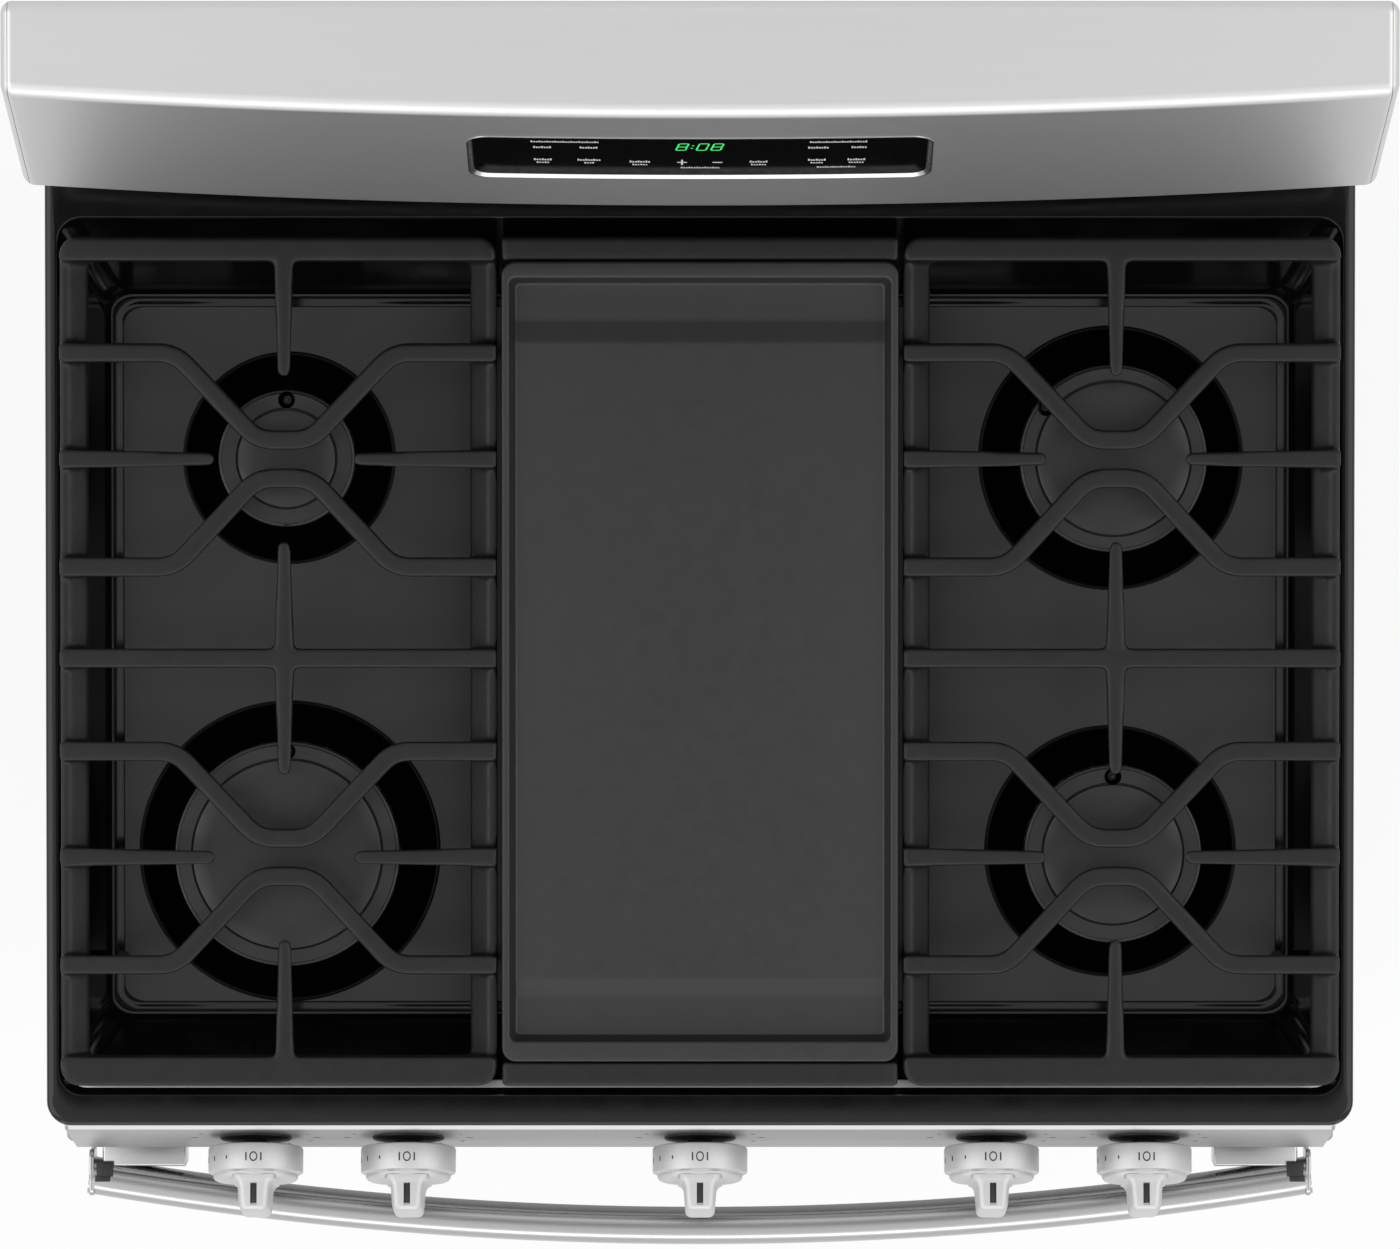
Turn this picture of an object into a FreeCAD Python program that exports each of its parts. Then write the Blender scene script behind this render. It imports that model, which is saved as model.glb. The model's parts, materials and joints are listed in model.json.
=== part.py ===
"""Freestanding gas range, 30 inch class, as a parametric FreeCAD document.

X runs to the right, Y to the back, Z up from the floor, in millimetres.
The spreadsheet holds every driving size; each piece is bound to it.
"""

import FreeCAD, Part
import os
from math import cos, radians, sin, tan
from types import SimpleNamespace

import Sketcher
from FreeCAD import Placement, Rotation, Vector

SIZES = {
    # whole range
    "wide": 759.0,
    "rim_z": 900.0,
    "crown_z": 1200.0,
    "back_y": 355.0,
    "cabinet_deep": 605.0,
    "side_inset": 2.5,
    "sheet": 1.2,
    "gap": 0.3,
    "fit": 0.05,
    # cabinet
    "front_flange": 24.0,
    "rear_flange": 18.0,
    "frame_thick": 1.4,
    "frame_lift": 2.0,
    "mouth_side": 6.0,
    "mouth_lap": 4.0,
    "base_high": 26.0,
    "base_flange": 62.0,
    "inlet_x": 318.0,
    "inlet_z": 812.0,
    "inlet_hole": 20.0,
    "louvre_wide": 90.0,
    "louvre_high": 5.0,
    "louvre_pitch": 22.0,
    "louvre_z": 560.0,
    "louvre_end": 6.0,
    "screw_head": 4.5,
    "screw_shank": 2.0,
    "screw_cap": 2.0,
    "screw_z": 140.0,
    "screw_pitch": 150.0,
    # levelling feet
    "foot_high": 30.0,
    "foot_inset": 42.0,
    "foot_pad": 20.0,
    "foot_pad_high": 11.0,
    "foot_taper": 3.0,
    "foot_nut": 9.0,
    "foot_stem": 5.0,
    "foot_boss": 11.0,
    # oven
    "cavity_wide": 610.0,
    "cavity_z": 240.0,
    "cavity_high": 472.0,
    "cavity_deep": 465.0,
    "liner": 1.2,
    "wool": 35.0,
    "ledge_wide": 9.0,
    "ledge_high": 4.0,
    "ledge_z": 350.0,
    "ledge_pitch": 68.0,
    "ledge_in": 12.0,
    "floor_z": 286.0,
    "floor_steel": 1.5,
    "floor_play": 1.0,
    "floor_in": 4.0,
    "floor_off": 2.0,
    "slot_in": 60.0,
    "slot_pitch": 45.0,
    "slot_wide": 6.0,
    "slot_far": 60.0,
    "slot_near": 28.0,
    "bake_tube": 13.0,
    "bake_up": 22.0,
    "bake_in": 50.0,
    "cradle_out": 8.0,
    "cradle_steel": 3.0,
    "cradle_front": 20.0,
    "cradle_back": 60.0,
    "broil_tube": 8.0,
    "broil_half": 110.0,
    "broil_down": 32.0,
    "broil_in": 110.0,
    "hanger_half": 6.0,
    "hanger_in": 90.0,
    "hanger_steel": 2.0,
    "rack_wire": 3.2,
    "rack_rod": 2.4,
    "rack_play": 4.0,
    "rack_in": 26.0,
    "rack_off": 8.0,
    "duct_half": 60.0,
    "duct_high": 30.0,
    "duct_deep": 36.0,
    "duct_down": 6.0,
    "duct_clear": 10.0,
    "duct_rise": 40.0,
    "lamp_x": 210.0,
    "lamp_down": 70.0,
    "lamp_socket": 24.0,
    "lamp_base": 8.0,
    "lamp_glass": 18.0,
    "lamp_long": 30.0,
    "probe_x": 200.0,
    "probe_flange": 12.0,
    "probe_plate": 2.0,
    "probe": 2.5,
    "probe_long": 90.0,
    # drawer
    "drawer_z": 62.0,
    "drawer_top": 185.0,
    "drawer_box_wide": 660.0,
    "drawer_box_high": 98.0,
    "drawer_box_deep": 480.0,
    "drawer_stand": 4.6,
    "drawer_box_up": 10.0,
    "runner_wide": 14.0,
    "runner_high": 12.0,
    "runner_z": 112.0,
    "runner_in": 5.0,
    "rail_near": 2.0,
    "rail_steel": 2.0,
    "rail_over": 12.0,
    "mount_long": 20.0,
    "mount_front": 30.0,
    "mount_back": 40.0,
    # door
    "door_wide": 752.0,
    "door_z": 203.0,
    "door_top": 795.0,
    "door_front": 47.0,
    "door_stand": 12.0,
    "door_back": 4.0,
    "door_skin": 1.5,
    "door_inset": 20.0,
    "plug_up": 3.0,
    "plug_lap": 10.0,
    "plug_edge": 8.0,
    "window_wide": 470.0,
    "window_z": 345.0,
    "window_high": 250.0,
    "window_lap": 14.0,
    "glass": 4.0,
    "hinge_out": 20.0,
    "hinge_up": 12.0,
    "hinge_x": 330.0,
    "hinge_ear": 8.0,
    "hinge_pin": 4.0,
    "hinge_play": 0.5,
    "hinge_plate": 3.0,
    "hinge_end": 6.0,
    "hinge_tall": 80.0,
    "hinge_foot": 20.0,
    "ear_trim": 1.0,
    "notch_play": 7.0,
    "handle_z": 765.0,
    "handle_high": 28.0,
    "handle_thick": 22.0,
    "handle_out": 64.0,
    "handle_half": 364.0,
    "handle_bow": 2200.0,
    "bracket_from": 306.0,
    "bracket_to": 356.0,
    "bracket_high": 24.0,
    "seal_in": 6.0,
    "seal_wide": 10.0,
    # cooktop
    "rim_thick": 8.0,
    "rim_corner": 9.0,
    "lip_out": 28.0,
    "pan_side": 8.5,
    "pan_out": 9.0,
    "pan_back": 107.0,
    "pan_deep": 44.0,
    "pan_slope": 27.0,
    "pan_slope_y": 43.0,
    "pan_steel": 1.6,
    "burner_x": 240.0,
    "burner_pitch": 230.0,
    "bowl_deep": 12.0,
    "bowl_lr": 60.0,
    "head_lr": 39.8,
    "cap_lr": 28.4,
    "bowl_lf": 86.0,
    "head_lf": 65.4,
    "cap_lf": 54.8,
    "bowl_rr": 75.2,
    "head_rr": 54.5,
    "cap_rr": 44.5,
    "bowl_rf": 71.5,
    "head_rf": 51.7,
    "cap_rf": 40.5,
    "oval_long": 190.0,
    "oval_wide": 62.0,
    "oval_bowl": 9.0,
    "oval_wall": 2.0,
    "oval_cap_step": 4.0,
    "head_high": 24.0,
    "head_rim": 12.0,
    "port_high": 6.0,
    "cap_thick": 7.0,
    "cap_crown": 2.0,
    "cap_turn": 5.0,
    "port_step": 4.0,
    "head_edge": 6.0,
    "collar_up": 10.0,
    "bowl_foot": 6.0,
    "throat_play": 1.0,
    "throat": 14.0,
    "collar": 20.0,
    "igniter": 3.2,
    "spark_play": 1.5,
    "spark_up": 2.0,
    "spark_over": 3.0,
    "spark_lr": 34.0,
    "spark_lf": 60.0,
    "spark_rf": 45.0,
    "spark_rr_x": 39.0,
    "spark_rr_y": 29.6,
    # grates and griddle
    "grate_z": 922.0,
    "bar_high": 14.0,
    "bar_wide": 11.7,
    "bar_tip": 7.0,
    "rail_wide": 9.0,
    "rail_high": 12.0,
    "rail_drop": 7.0,
    "grate_back": 10.1,
    "grate_front": 6.0,
    "grate_side": 9.9,
    "grate_split": 117.3,
    "centre_half": 114.4,
    "rear_bar": 14.4,
    "front_bar": 17.0,
    "vee_back": 61.3,
    "vee_front": 62.3,
    "vee_foot": 63.0,
    "vee_flat": 15.5,
    "vee_apex": 11.0,
    "finger_x": 40.0,
    "finger_y": 47.5,
    "finger_trim": 1.0,
    "leg": 10.0,
    "leg_in": 37.0,
    "leg_root": 2.0,
    "griddle_z": 924.0,
    "griddle_thick": 18.0,
    "griddle_recess": 10.0,
    "griddle_wall": 6.0,
    "griddle_base": 4.0,
    "griddle_corner": 8.0,
    "griddle_front": 15.0,
    "griddle_rear": 11.0,
    "trough_in": 4.0,
    "trough_wide": 22.0,
    # knob panel, valves and knobs
    "panel_out": 30.0,
    "panel_top": 895.0,
    "panel_z": 801.0,
    "panel_lean": 11.8,
    "panel_thick": 1.5,
    "panel_side": 7.5,
    "panel_end": 2.0,
    "panel_end_in": 4.0,
    "hole_reach": 6.0,
    "knob_z": 850.0,
    "knob_outer": 260.5,
    "knob_inner": 171.0,
    "knob_skirt": 27.85,
    "knob_tier": 25.0,
    "knob_grip": 20.0,
    "grip_in": 1.5,
    "knob_hub": 7.5,
    "hub_high": 1.0,
    "knob_lift": 5.0,
    "skirt_high": 15.0,
    "tier_high": 6.0,
    "knob_high": 45.0,
    "knob_travel": 3.0,
    "bore_over": 2.0,
    "stem": 4.0,
    "stem_hole": 9.0,
    "stem_stop": 8.0,
    "valve": 11.0,
    "valve_near": 18.0,
    "valve_far": 46.0,
    "bore_stop": 6.0,
    "saddle_half": 9.0,
    "saddle_back": 12.0,
    "manifold": 8.0,
    "manifold_drop": 21.0,
    "manifold_over": 30.0,
    "manifold_side": 12.0,
    "gas_tube": 3.2,
    "tube_z": 818.0,
    "tube_off": 0.8,
    "tube_down": 12.0,
    "tube_run": 40.0,
    "tube_drop": 6.0,
    "holder": 11.0,
    "holder_up": 6.0,
    "holder_low": 14.0,
    "regulator": 26.0,
    "regulator_out": 95.0,
    "regulator_long": 45.0,
    "inlet_neck": 16.0,
    "inlet_bore": 10.5,
    "inlet_deep": 22.0,
    "arm_in": 20.0,
    "arm_steel": 3.0,
    "arm_half": 15.0,
    "spark_z": 790.0,
    "spark_wide": 60.0,
    "spark_high": 40.0,
    "spark_long": 90.0,
    "spark_back": 40.0,
    # backguard
    "riser_deep": 80.0,
    "vent_half": 24.0,
    "vent_low": 12.0,
    "vent_high": 10.0,
    "vent_pitch": 60.0,
    "console_high": 155.0,
    "console_back": 6.0,
    "console_front": 56.3,
    "console_lean": 17.0,
    "console_bow": 6000.0,
    "console_steel": 1.5,
    "end_cap": 4.0,
    "glass_wide": 250.0,
    "glass_high": 64.6,
    "glass_down": 74.1,
    "glass_sink": 1.6,
    "opening_reach": 6.0,
    "board_thick": 2.0,
    "board_side": 8.0,
    "board_end": 6.0,
    "chips_high": 12.0,
    "post_wide": 5.0,
    "post_high": 2.0,
    "post_out": 4.5,
}

doc = FreeCAD.newDocument("gas_range")
sheet = doc.addObject("Spreadsheet::Sheet", "dims")
for row, (alias, number) in enumerate(SIZES.items(), 1):
    sheet.set(f"A{row}", alias)
    sheet.set(f"B{row}", str(number))
    sheet.setAlias(f"B{row}", alias)
doc.recompute()


class Size:
    """A length or angle that carries its number and its spreadsheet formula."""

    def __init__(self, value, formula):
        self.value = float(value)
        self.formula = formula

    def __add__(self, other):
        other = as_size(other)
        return Size(self.value + other.value, f"({self.formula} + {other.formula})")

    def __sub__(self, other):
        other = as_size(other)
        return Size(self.value - other.value, f"({self.formula} - {other.formula})")

    def __mul__(self, other):
        other = as_size(other)
        return Size(self.value * other.value, f"({self.formula} * {other.formula})")

    def __truediv__(self, other):
        other = as_size(other)
        return Size(self.value / other.value, f"({self.formula} / {other.formula})")

    def __neg__(self):
        return Size(-self.value, f"(0 - {self.formula})")

    def __radd__(self, other):
        return as_size(other) + self

    def __rsub__(self, other):
        return as_size(other) - self

    def __rmul__(self, other):
        return as_size(other) * self


def as_size(number):
    """A Size as it is, or a plain number as one."""
    return number if isinstance(number, Size) else Size(number, str(number))


def tangent(angle):
    """Tangent of an angle in degrees."""
    return Size(tan(radians(angle.value)), f"tan({angle.formula})")


def cosine(angle):
    """Cosine of an angle in degrees."""
    return Size(cos(radians(angle.value)), f"cos({angle.formula})")


def sine(angle):
    """Sine of an angle in degrees."""
    return Size(sin(radians(angle.value)), f"sin({angle.formula})")


d = SimpleNamespace(**{name: Size(number, f"dims.{name}") for name, number in SIZES.items()})

# Planes that several pieces share
half = d.wide / 2
side_x = half - d.side_inset
inner_x = side_x - d.sheet
front_y = d.back_y - d.cabinet_deep
face_y = front_y - d.frame_thick
deck_z = d.rim_z - d.rim_thick
pan_front = front_y - d.pan_out
pan_back = d.back_y - d.pan_back
pan_mid = (pan_front + pan_back) / 2
pan_floor = d.rim_z - d.pan_deep
bowl_floor = pan_floor - d.bowl_deep
door_face = front_y - d.door_front
hinge_y = front_y - d.hinge_out
hinge_z = d.door_z + d.hinge_up
cavity_back = front_y + d.cavity_deep
cavity_top = d.cavity_z + d.cavity_high
panel_y = front_y - d.panel_out
panel_foot_y = panel_y - (d.panel_top - d.panel_z) * tangent(d.panel_lean)
knob_y = panel_y - (d.panel_top - d.knob_z) * tangent(d.panel_lean)
console_z = d.crown_z - d.console_high
console_back = d.back_y + d.console_back
crown_y = d.back_y - d.console_front
riser_y = d.back_y - d.riser_deep
SIDES = (("left", -1), ("right", 1))
KNOB_X = (-d.knob_outer, -d.knob_inner, Size(0, "0"), d.knob_inner, d.knob_outer)

nodes = []


def node(label, piece):
    """Name a finished sub-part, which is then written to its own file."""
    piece.Label = label
    nodes.append(piece)
    return piece


def bind(piece, path, size):
    """Tie a property to the spreadsheet."""
    piece.setExpression(path, as_size(size).formula)


def place(piece, x=0, y=0, z=0):
    """Tie a piece's position to the spreadsheet."""
    for axis, size in (("x", x), ("y", y), ("z", z)):
        bind(piece, f"Placement.Base.{axis}", size)
    return piece


def block(name, x, y, z):
    """A rectangular block between two values along each axis."""
    piece = doc.addObject("Part::Box", name)
    for side, (low, high) in zip(("Length", "Width", "Height"), (x, y, z)):
        bind(piece, side, as_size(high) - low)
    return place(piece, x[0], y[0], z[0])


def span(side, near, far):
    """Two distances from the middle plane as a low and high value on one side."""
    return (near, far) if side > 0 else (-far, -near)


TURNS = {
    "x": Rotation(Vector(0, 1, 0), 90),
    "y": Rotation(Vector(1, 0, 0), -90),
    "z": Rotation(),
}


def rod(name, radius, along, ends, **centre):
    """A round bar along one axis, from one value to the other."""
    piece = doc.addObject("Part::Cylinder", name)
    bind(piece, "Radius", radius)
    bind(piece, "Height", as_size(ends[1]) - ends[0])
    piece.Placement = Placement(Vector(), TURNS[along])
    return place(piece, **{along: ends[0]}, **centre)


def cone(name, low_radius, high_radius, z, x=0, y=0):
    """A cone frustum that stands up between two heights."""
    piece = doc.addObject("Part::Cone", name)
    bind(piece, "Radius1", low_radius)
    bind(piece, "Radius2", high_radius)
    bind(piece, "Height", as_size(z[1]) - z[0])
    return place(piece, x, y, z[0])


def frustum(name, low, high, z):
    """A block whose lower and upper rectangles, each as (x, y) spans, differ."""
    piece = doc.addObject("Part::Wedge", name)
    piece.Placement = Placement(Vector(), Rotation(Vector(1, 0, 0), 90))
    for prop, size in (
        ("Ymin", z[0]), ("Ymax", z[1]),
        ("Xmin", low[0][0]), ("Xmax", low[0][1]),
        ("Zmin", -low[1][1]), ("Zmax", -low[1][0]),
        ("X2min", high[0][0]), ("X2max", high[0][1]),
        ("Z2min", -high[1][1]), ("Z2max", -high[1][0]),
    ):
        bind(piece, prop, size)
    return piece


def fuse(name, *pieces):
    """Pieces joined into one solid."""
    joined = doc.addObject("Part::MultiFuse", name)
    joined.Shapes = list(pieces)
    return joined


def cut(name, base, *tools):
    """A piece with the tools taken out of it."""
    result = doc.addObject("Part::Cut", name)
    result.Base = base
    result.Tool = tools[0] if len(tools) == 1 else fuse(name + "_tools", *tools)
    return result


def common(name, first, second):
    """What two pieces share."""
    result = doc.addObject("Part::MultiCommon", name)
    result.Shapes = [first, second]
    return result


def group(name, *pieces):
    """Separate solids that share one node."""
    result = doc.addObject("Part::Compound", name)
    result.Links = list(pieces)
    return result


def tilted(piece, lean, x, y, z):
    """Stand a piece's own Z axis out of a face that leans back by an angle."""
    piece.Placement = Placement(Vector(), Rotation(Vector(1, 0, 0), 90 - lean.value))
    bind(piece, "Placement.Rotation.Angle", 90 - lean)
    return place(piece, x, y, z)


def outline(body, plane, points, offset=0):
    """A closed polygon on one of the body's own planes, each corner tied to the sheet."""
    sketch = body.newObject("Sketcher::SketchObject", body.Name + "_outline")
    sketch.AttachmentSupport = [(origin_plane(body, plane), "")]
    sketch.MapMode = "FlatFace"
    bind(sketch, "AttachmentOffset.Base.z", offset)
    corners = [(as_size(a), as_size(b)) for a, b in points]
    count = len(corners)
    for index, (a, b) in enumerate(corners):
        c, e = corners[(index + 1) % count]
        line = Part.LineSegment(Vector(a.value, b.value, 0), Vector(c.value, e.value, 0))
        sketch.addGeometry(line, False)
    for index in range(count):
        sketch.addConstraint(Sketcher.Constraint("Coincident", index, 2, (index + 1) % count, 1))
    for index, corner in enumerate(corners):
        for kind, size in zip(("DistanceX", "DistanceY"), corner):
            rule = sketch.addConstraint(Sketcher.Constraint(kind, -1, 1, index, 1, size.value))
            bind(sketch, f"Constraints[{rule}]", size)
    return sketch


def origin_plane(body, role):
    """One of a body's own base planes."""
    return next(plane for plane in body.Origin.OriginFeatures if plane.Role == role)


def profile(name, plane, points, ends):
    """A body padded from a polygon, between two values along the plane's normal."""
    body = doc.addObject("PartDesign::Body", name)
    low = -as_size(ends[1]) if plane == "XZ_Plane" else ends[0]
    sketch = outline(body, plane, points, low)
    pad = body.newObject("PartDesign::Pad", name + "_pad")
    pad.Profile = sketch
    bind(pad, "Length", as_size(ends[1]) - ends[0])
    return body


def rectangle(x, y):
    """The four corners of a rectangle between two spans."""
    return [(x[0], y[0]), (x[1], y[0]), (x[1], y[1]), (x[0], y[1])]


def upright_edges(shape):
    """Names of a shape's straight edges that stand along Z."""
    names = []
    for index, edge in enumerate(shape.Edges, 1):
        run = edge.Vertexes[-1].Point - edge.Vertexes[0].Point
        if run.Length > 0.1 and abs(run.z) > 0.999 * run.Length:
            names.append(f"Edge{index}")
    return names


def rounded_plate(name, x, y, z, radius):
    """A flat plate with its four upright edges rounded."""
    body = profile(name, "XY_Plane", rectangle(x, y), z)
    doc.recompute()
    pad = body.Tip
    fillet = body.newObject("PartDesign::Fillet", name + "_corners")
    fillet.Base = (pad, upright_edges(pad.Shape))
    bind(fillet, "Radius", radius)
    body.Tip = fillet
    return body


# Middle line of a tube's bends, in tube radii
TUBE_BEND = 1.25


def bent_tube(name, radius, points):
    """A round tube along straight runs joined by tangent arcs."""
    corners = [Vector(*(as_size(value).value for value in point)) for point in points]
    edges = []
    start = corners[0]
    for before, corner, after in zip(corners, corners[1:], corners[2:]):
        back, ahead = (before - corner).normalize(), (after - corner).normalize()
        half_angle = back.getAngle(ahead) / 2
        bend = TUBE_BEND * radius.value
        inward = (back + ahead).normalize()
        arc = [corner + back * (bend / tan(half_angle)),
               corner + inward * (bend / sin(half_angle) - bend),
               corner + ahead * (bend / tan(half_angle))]
        edges += [Part.makeLine(start, arc[0]), Part.Arc(*arc).toShape()]
        start = arc[2]
    edges.append(Part.makeLine(start, corners[-1]))
    ring = Part.Wire(Part.makeCircle(radius.value, corners[0], corners[1] - corners[0]))
    piece = doc.addObject("Part::Feature", name)
    piece.Shape = Part.Wire(edges).makePipeShell([ring], True, False)
    piece.Placement = Placement()
    return piece


# ---- Cabinet ---------------------------------------------------------------

BACK_SCREWS = 5
BACK_SCREW_Z = [d.screw_z + d.screw_pitch * step for step in range(BACK_SCREWS)]
LOUVRE_ROWS = 6
PANEL_BACK = d.back_y - d.sheet


def side_panel(label, side):
    """Folded side sheet with a front and a rear flange, drilled for the back screws."""
    outer = side * side_x
    inner = side * inner_x
    front_lip = side * (side_x - d.front_flange)
    rear_lip = side * (side_x - d.rear_flange)
    folded = profile(label + "_sheet", "XY_Plane", [
        (outer, front_y), (outer, d.back_y), (rear_lip, d.back_y),
        (rear_lip, d.back_y - d.sheet), (inner, d.back_y - d.sheet),
        (inner, front_y + d.sheet), (front_lip, front_y + d.sheet), (front_lip, front_y),
    ], (d.foot_high, deck_z))
    notch = block(label + "_notch", span(side, side_x - d.front_flange, inner_x),
                  (front_y, front_y + d.sheet), (pan_floor - 2 * d.pan_steel, deck_z))
    node(label, cut(label + "_drilled", folded, notch, *screw_shanks(label, side)))


def screw_shanks(name, side):
    """Shanks of the back panel's screws on one side."""
    return [
        rod(f"{name}_shank_{step}", d.screw_shank, "y", (PANEL_BACK - d.sheet, d.back_y),
            x=side * (side_x - d.rear_flange / 2), z=z)
        for step, z in enumerate(BACK_SCREW_Z)
    ]


def screws():
    """Back panel screws: a head outside and a shank through both sheets."""
    made = []
    for name, side in SIDES:
        for step, shank in enumerate(screw_shanks(f"screw_{name}", side)):
            head = rod(f"screw_{name}_head_{step}", d.screw_head, "y",
                       (d.back_y, d.back_y + d.screw_cap), x=side * (side_x - d.rear_flange / 2),
                       z=BACK_SCREW_Z[step])
            made.append(fuse(f"screw_{name}_{step}", shank, head))
    node("screws", group("screw_set", *made))


def back_panel():
    """Rear sheet with louvres, a hole for the gas inlet and screw holes."""
    deep = (PANEL_BACK - d.sheet, PANEL_BACK)
    plate = block("back_sheet", (-inner_x, inner_x), deep, (d.foot_high + d.base_high, deck_z))
    holes = [rod("inlet_hole", d.inlet_hole, "y", deep, x=d.inlet_x, z=d.inlet_z)]
    for column in (-1, 1):
        middle = column * d.louvre_wide
        for row in range(LOUVRE_ROWS):
            low = d.louvre_z + row * d.louvre_pitch
            holes.append(block(f"louvre_{column}_{row}",
                               (middle - d.louvre_wide / 2 + d.louvre_end,
                                middle + d.louvre_wide / 2 - d.louvre_end),
                               deep, (low, low + d.louvre_high)))
    for name, side in SIDES:
        holes += screw_shanks(f"back_{name}", side)
    node("back_panel", cut("back_pierced", plate, *holes))


def foot_places():
    """Plan positions of the four feet, front left first."""
    front = front_y + d.foot_inset
    back = d.back_y - d.foot_inset
    x = side_x - d.foot_inset
    return [(-x, front), (x, front), (-x, back), (x, back)]


def base_frame():
    """Angle-section base ring with a threaded boss over each foot."""
    low, high = d.foot_high, d.foot_high + d.base_high
    front, back = front_y + d.sheet, d.back_y - 2 * d.sheet
    wall = 2 * d.sheet
    ring = cut(
        "base_ring",
        block("base_outer", (-inner_x, inner_x), (front, back), (low, high)),
        block("base_inner", (-inner_x + wall, inner_x - wall), (front + wall, back - wall),
              (low + wall, high)),
        block("base_opening", (-inner_x + d.base_flange, inner_x - d.base_flange),
              (front + d.base_flange, back - d.base_flange), (low, low + wall)),
    )
    bosses = [rod(f"boss_{i}", d.foot_boss, "z", (low + wall, high), x=x, y=y)
              for i, (x, y) in enumerate(foot_places())]
    bores = [rod(f"bore_{i}", d.foot_stem + d.fit, "z", (low, high), x=x, y=y)
             for i, (x, y) in enumerate(foot_places())]
    node("base_frame", cut("base_bored", fuse("base_solid", ring, *bosses), *bores))


def levelling_feet():
    """Four screw feet, each a pad, a nut and a stem in its boss."""
    for i, (x, y) in enumerate(foot_places(), 1):
        pad = cone(f"foot_{i}_pad", d.foot_pad, d.foot_pad - d.foot_taper, (0, d.foot_pad_high), x, y)
        nut = rod(f"foot_{i}_nut", d.foot_nut, "z", (d.foot_pad_high, d.foot_high - d.gap), x=x, y=y)
        stem = rod(f"foot_{i}_stem", d.foot_stem, "z",
                   (d.foot_high - d.gap, d.foot_high + d.base_high), x=x, y=y)
        node(f"levelling_foot_{i}", fuse(f"foot_{i}_solid", pad, nut, stem))


def front_frame():
    """Front plate with the oven opening, the drawer opening and slots for the hinge ears."""
    drawer_half = d.drawer_box_wide / 2 + d.runner_wide + d.mouth_side
    cavity = d.cavity_wide / 2
    deep = (face_y, front_y)
    node("front_frame", cut(
        "front_pierced",
        block("front_sheet", (-side_x, side_x), deep, (d.foot_high + d.base_high + d.frame_lift, d.panel_z)),
        block("oven_mouth", (-cavity, cavity), deep, (d.cavity_z, cavity_top)),
        block("drawer_mouth", (-drawer_half, drawer_half), deep,
              (d.drawer_z + d.mouth_lap, d.drawer_top - d.mouth_lap)),
    ))


def hinge_receivers():
    """A bored ear on the front frame at each end of the door."""
    made = []
    for name, side in SIDES:
        across = (side * d.hinge_x - d.hinge_ear, side * d.hinge_x + d.hinge_ear)
        reach = d.hinge_ear - d.ear_trim
        ear = block(f"ear_{name}", across, (hinge_y - d.hinge_ear, face_y),
                    (hinge_z - reach, hinge_z + reach))
        bore = rod(f"ear_{name}_bore", d.hinge_pin + d.fit, "x", across, y=hinge_y, z=hinge_z)
        made.append(cut(f"receiver_{name}", ear, bore))
    node("hinge_receivers", group("receiver_pair", *made))


# ---- Oven ------------------------------------------------------------------

LEDGES = 5
RACK_LEDGES = (1, 3)
RACK_GAPS = 8
FLOOR_SLOTS = 8
CAVITY_HALF = d.cavity_wide / 2


def duct_mouth(name, y):
    """The passage of the vent duct through the oven's back wall or wool."""
    top = cavity_top - d.duct_down
    return block(name, (-d.duct_half, d.duct_half), y, (top - d.duct_high, top))


def oven_cavity():
    """Enamelled oven liner, open at the front, with side ledges for floor and racks."""
    walls = cut(
        "cavity_walls",
        block("cavity_outer", (-CAVITY_HALF - d.liner, CAVITY_HALF + d.liner),
              (front_y, cavity_back + d.liner), (d.cavity_z - d.liner, cavity_top + d.liner)),
        block("cavity_inner", (-CAVITY_HALF, CAVITY_HALF), (front_y, cavity_back),
              (d.cavity_z, cavity_top)),
        duct_mouth("cavity_vent", (cavity_back, cavity_back + d.liner)),
    )
    ledges = []
    tops = [d.floor_z] + [d.ledge_z + step * d.ledge_pitch for step in range(LEDGES)]
    for name, side in SIDES:
        for step, top in enumerate(tops):
            ledges.append(block(f"ledge_{name}_{step}",
                                span(side, CAVITY_HALF - d.ledge_wide, CAVITY_HALF),
                                (front_y + d.ledge_in, cavity_back), (top - d.ledge_high, top)))
    node("oven_cavity", fuse("cavity_solid", walls, *ledges))


def oven_insulation():
    """Mineral wool wrapped round the liner."""
    x = CAVITY_HALF + d.liner
    y = cavity_back + d.liner
    low, high = d.cavity_z - d.liner, cavity_top + d.liner
    node("oven_insulation", cut(
        "wool_solid",
        block("wool_outer", (-x - d.wool, x + d.wool), (front_y, y + d.wool),
              (low - d.wool, high + d.wool)),
        block("wool_inner", (-x, x), (front_y, y), (low, high)),
        duct_mouth("wool_vent", (y, y + d.wool)),
    ))


def oven_floor():
    """Removable bottom plate on the lowest ledges, slotted at both sides."""
    x = CAVITY_HALF - d.floor_play
    thick = (d.floor_z, d.floor_z + d.floor_steel)
    slots = []
    for name, side in SIDES:
        for row in range(FLOOR_SLOTS):
            low = front_y + d.slot_in + row * d.slot_pitch
            slots.append(block(f"floor_slot_{name}_{row}", span(side, x - d.slot_far, x - d.slot_near),
                               (low, low + d.slot_wide), thick))
    plate = block("floor_sheet", (-x, x), (front_y + d.floor_in, cavity_back - d.floor_off), thick)
    node("oven_floor", cut("floor_slotted", plate, *slots))


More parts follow.
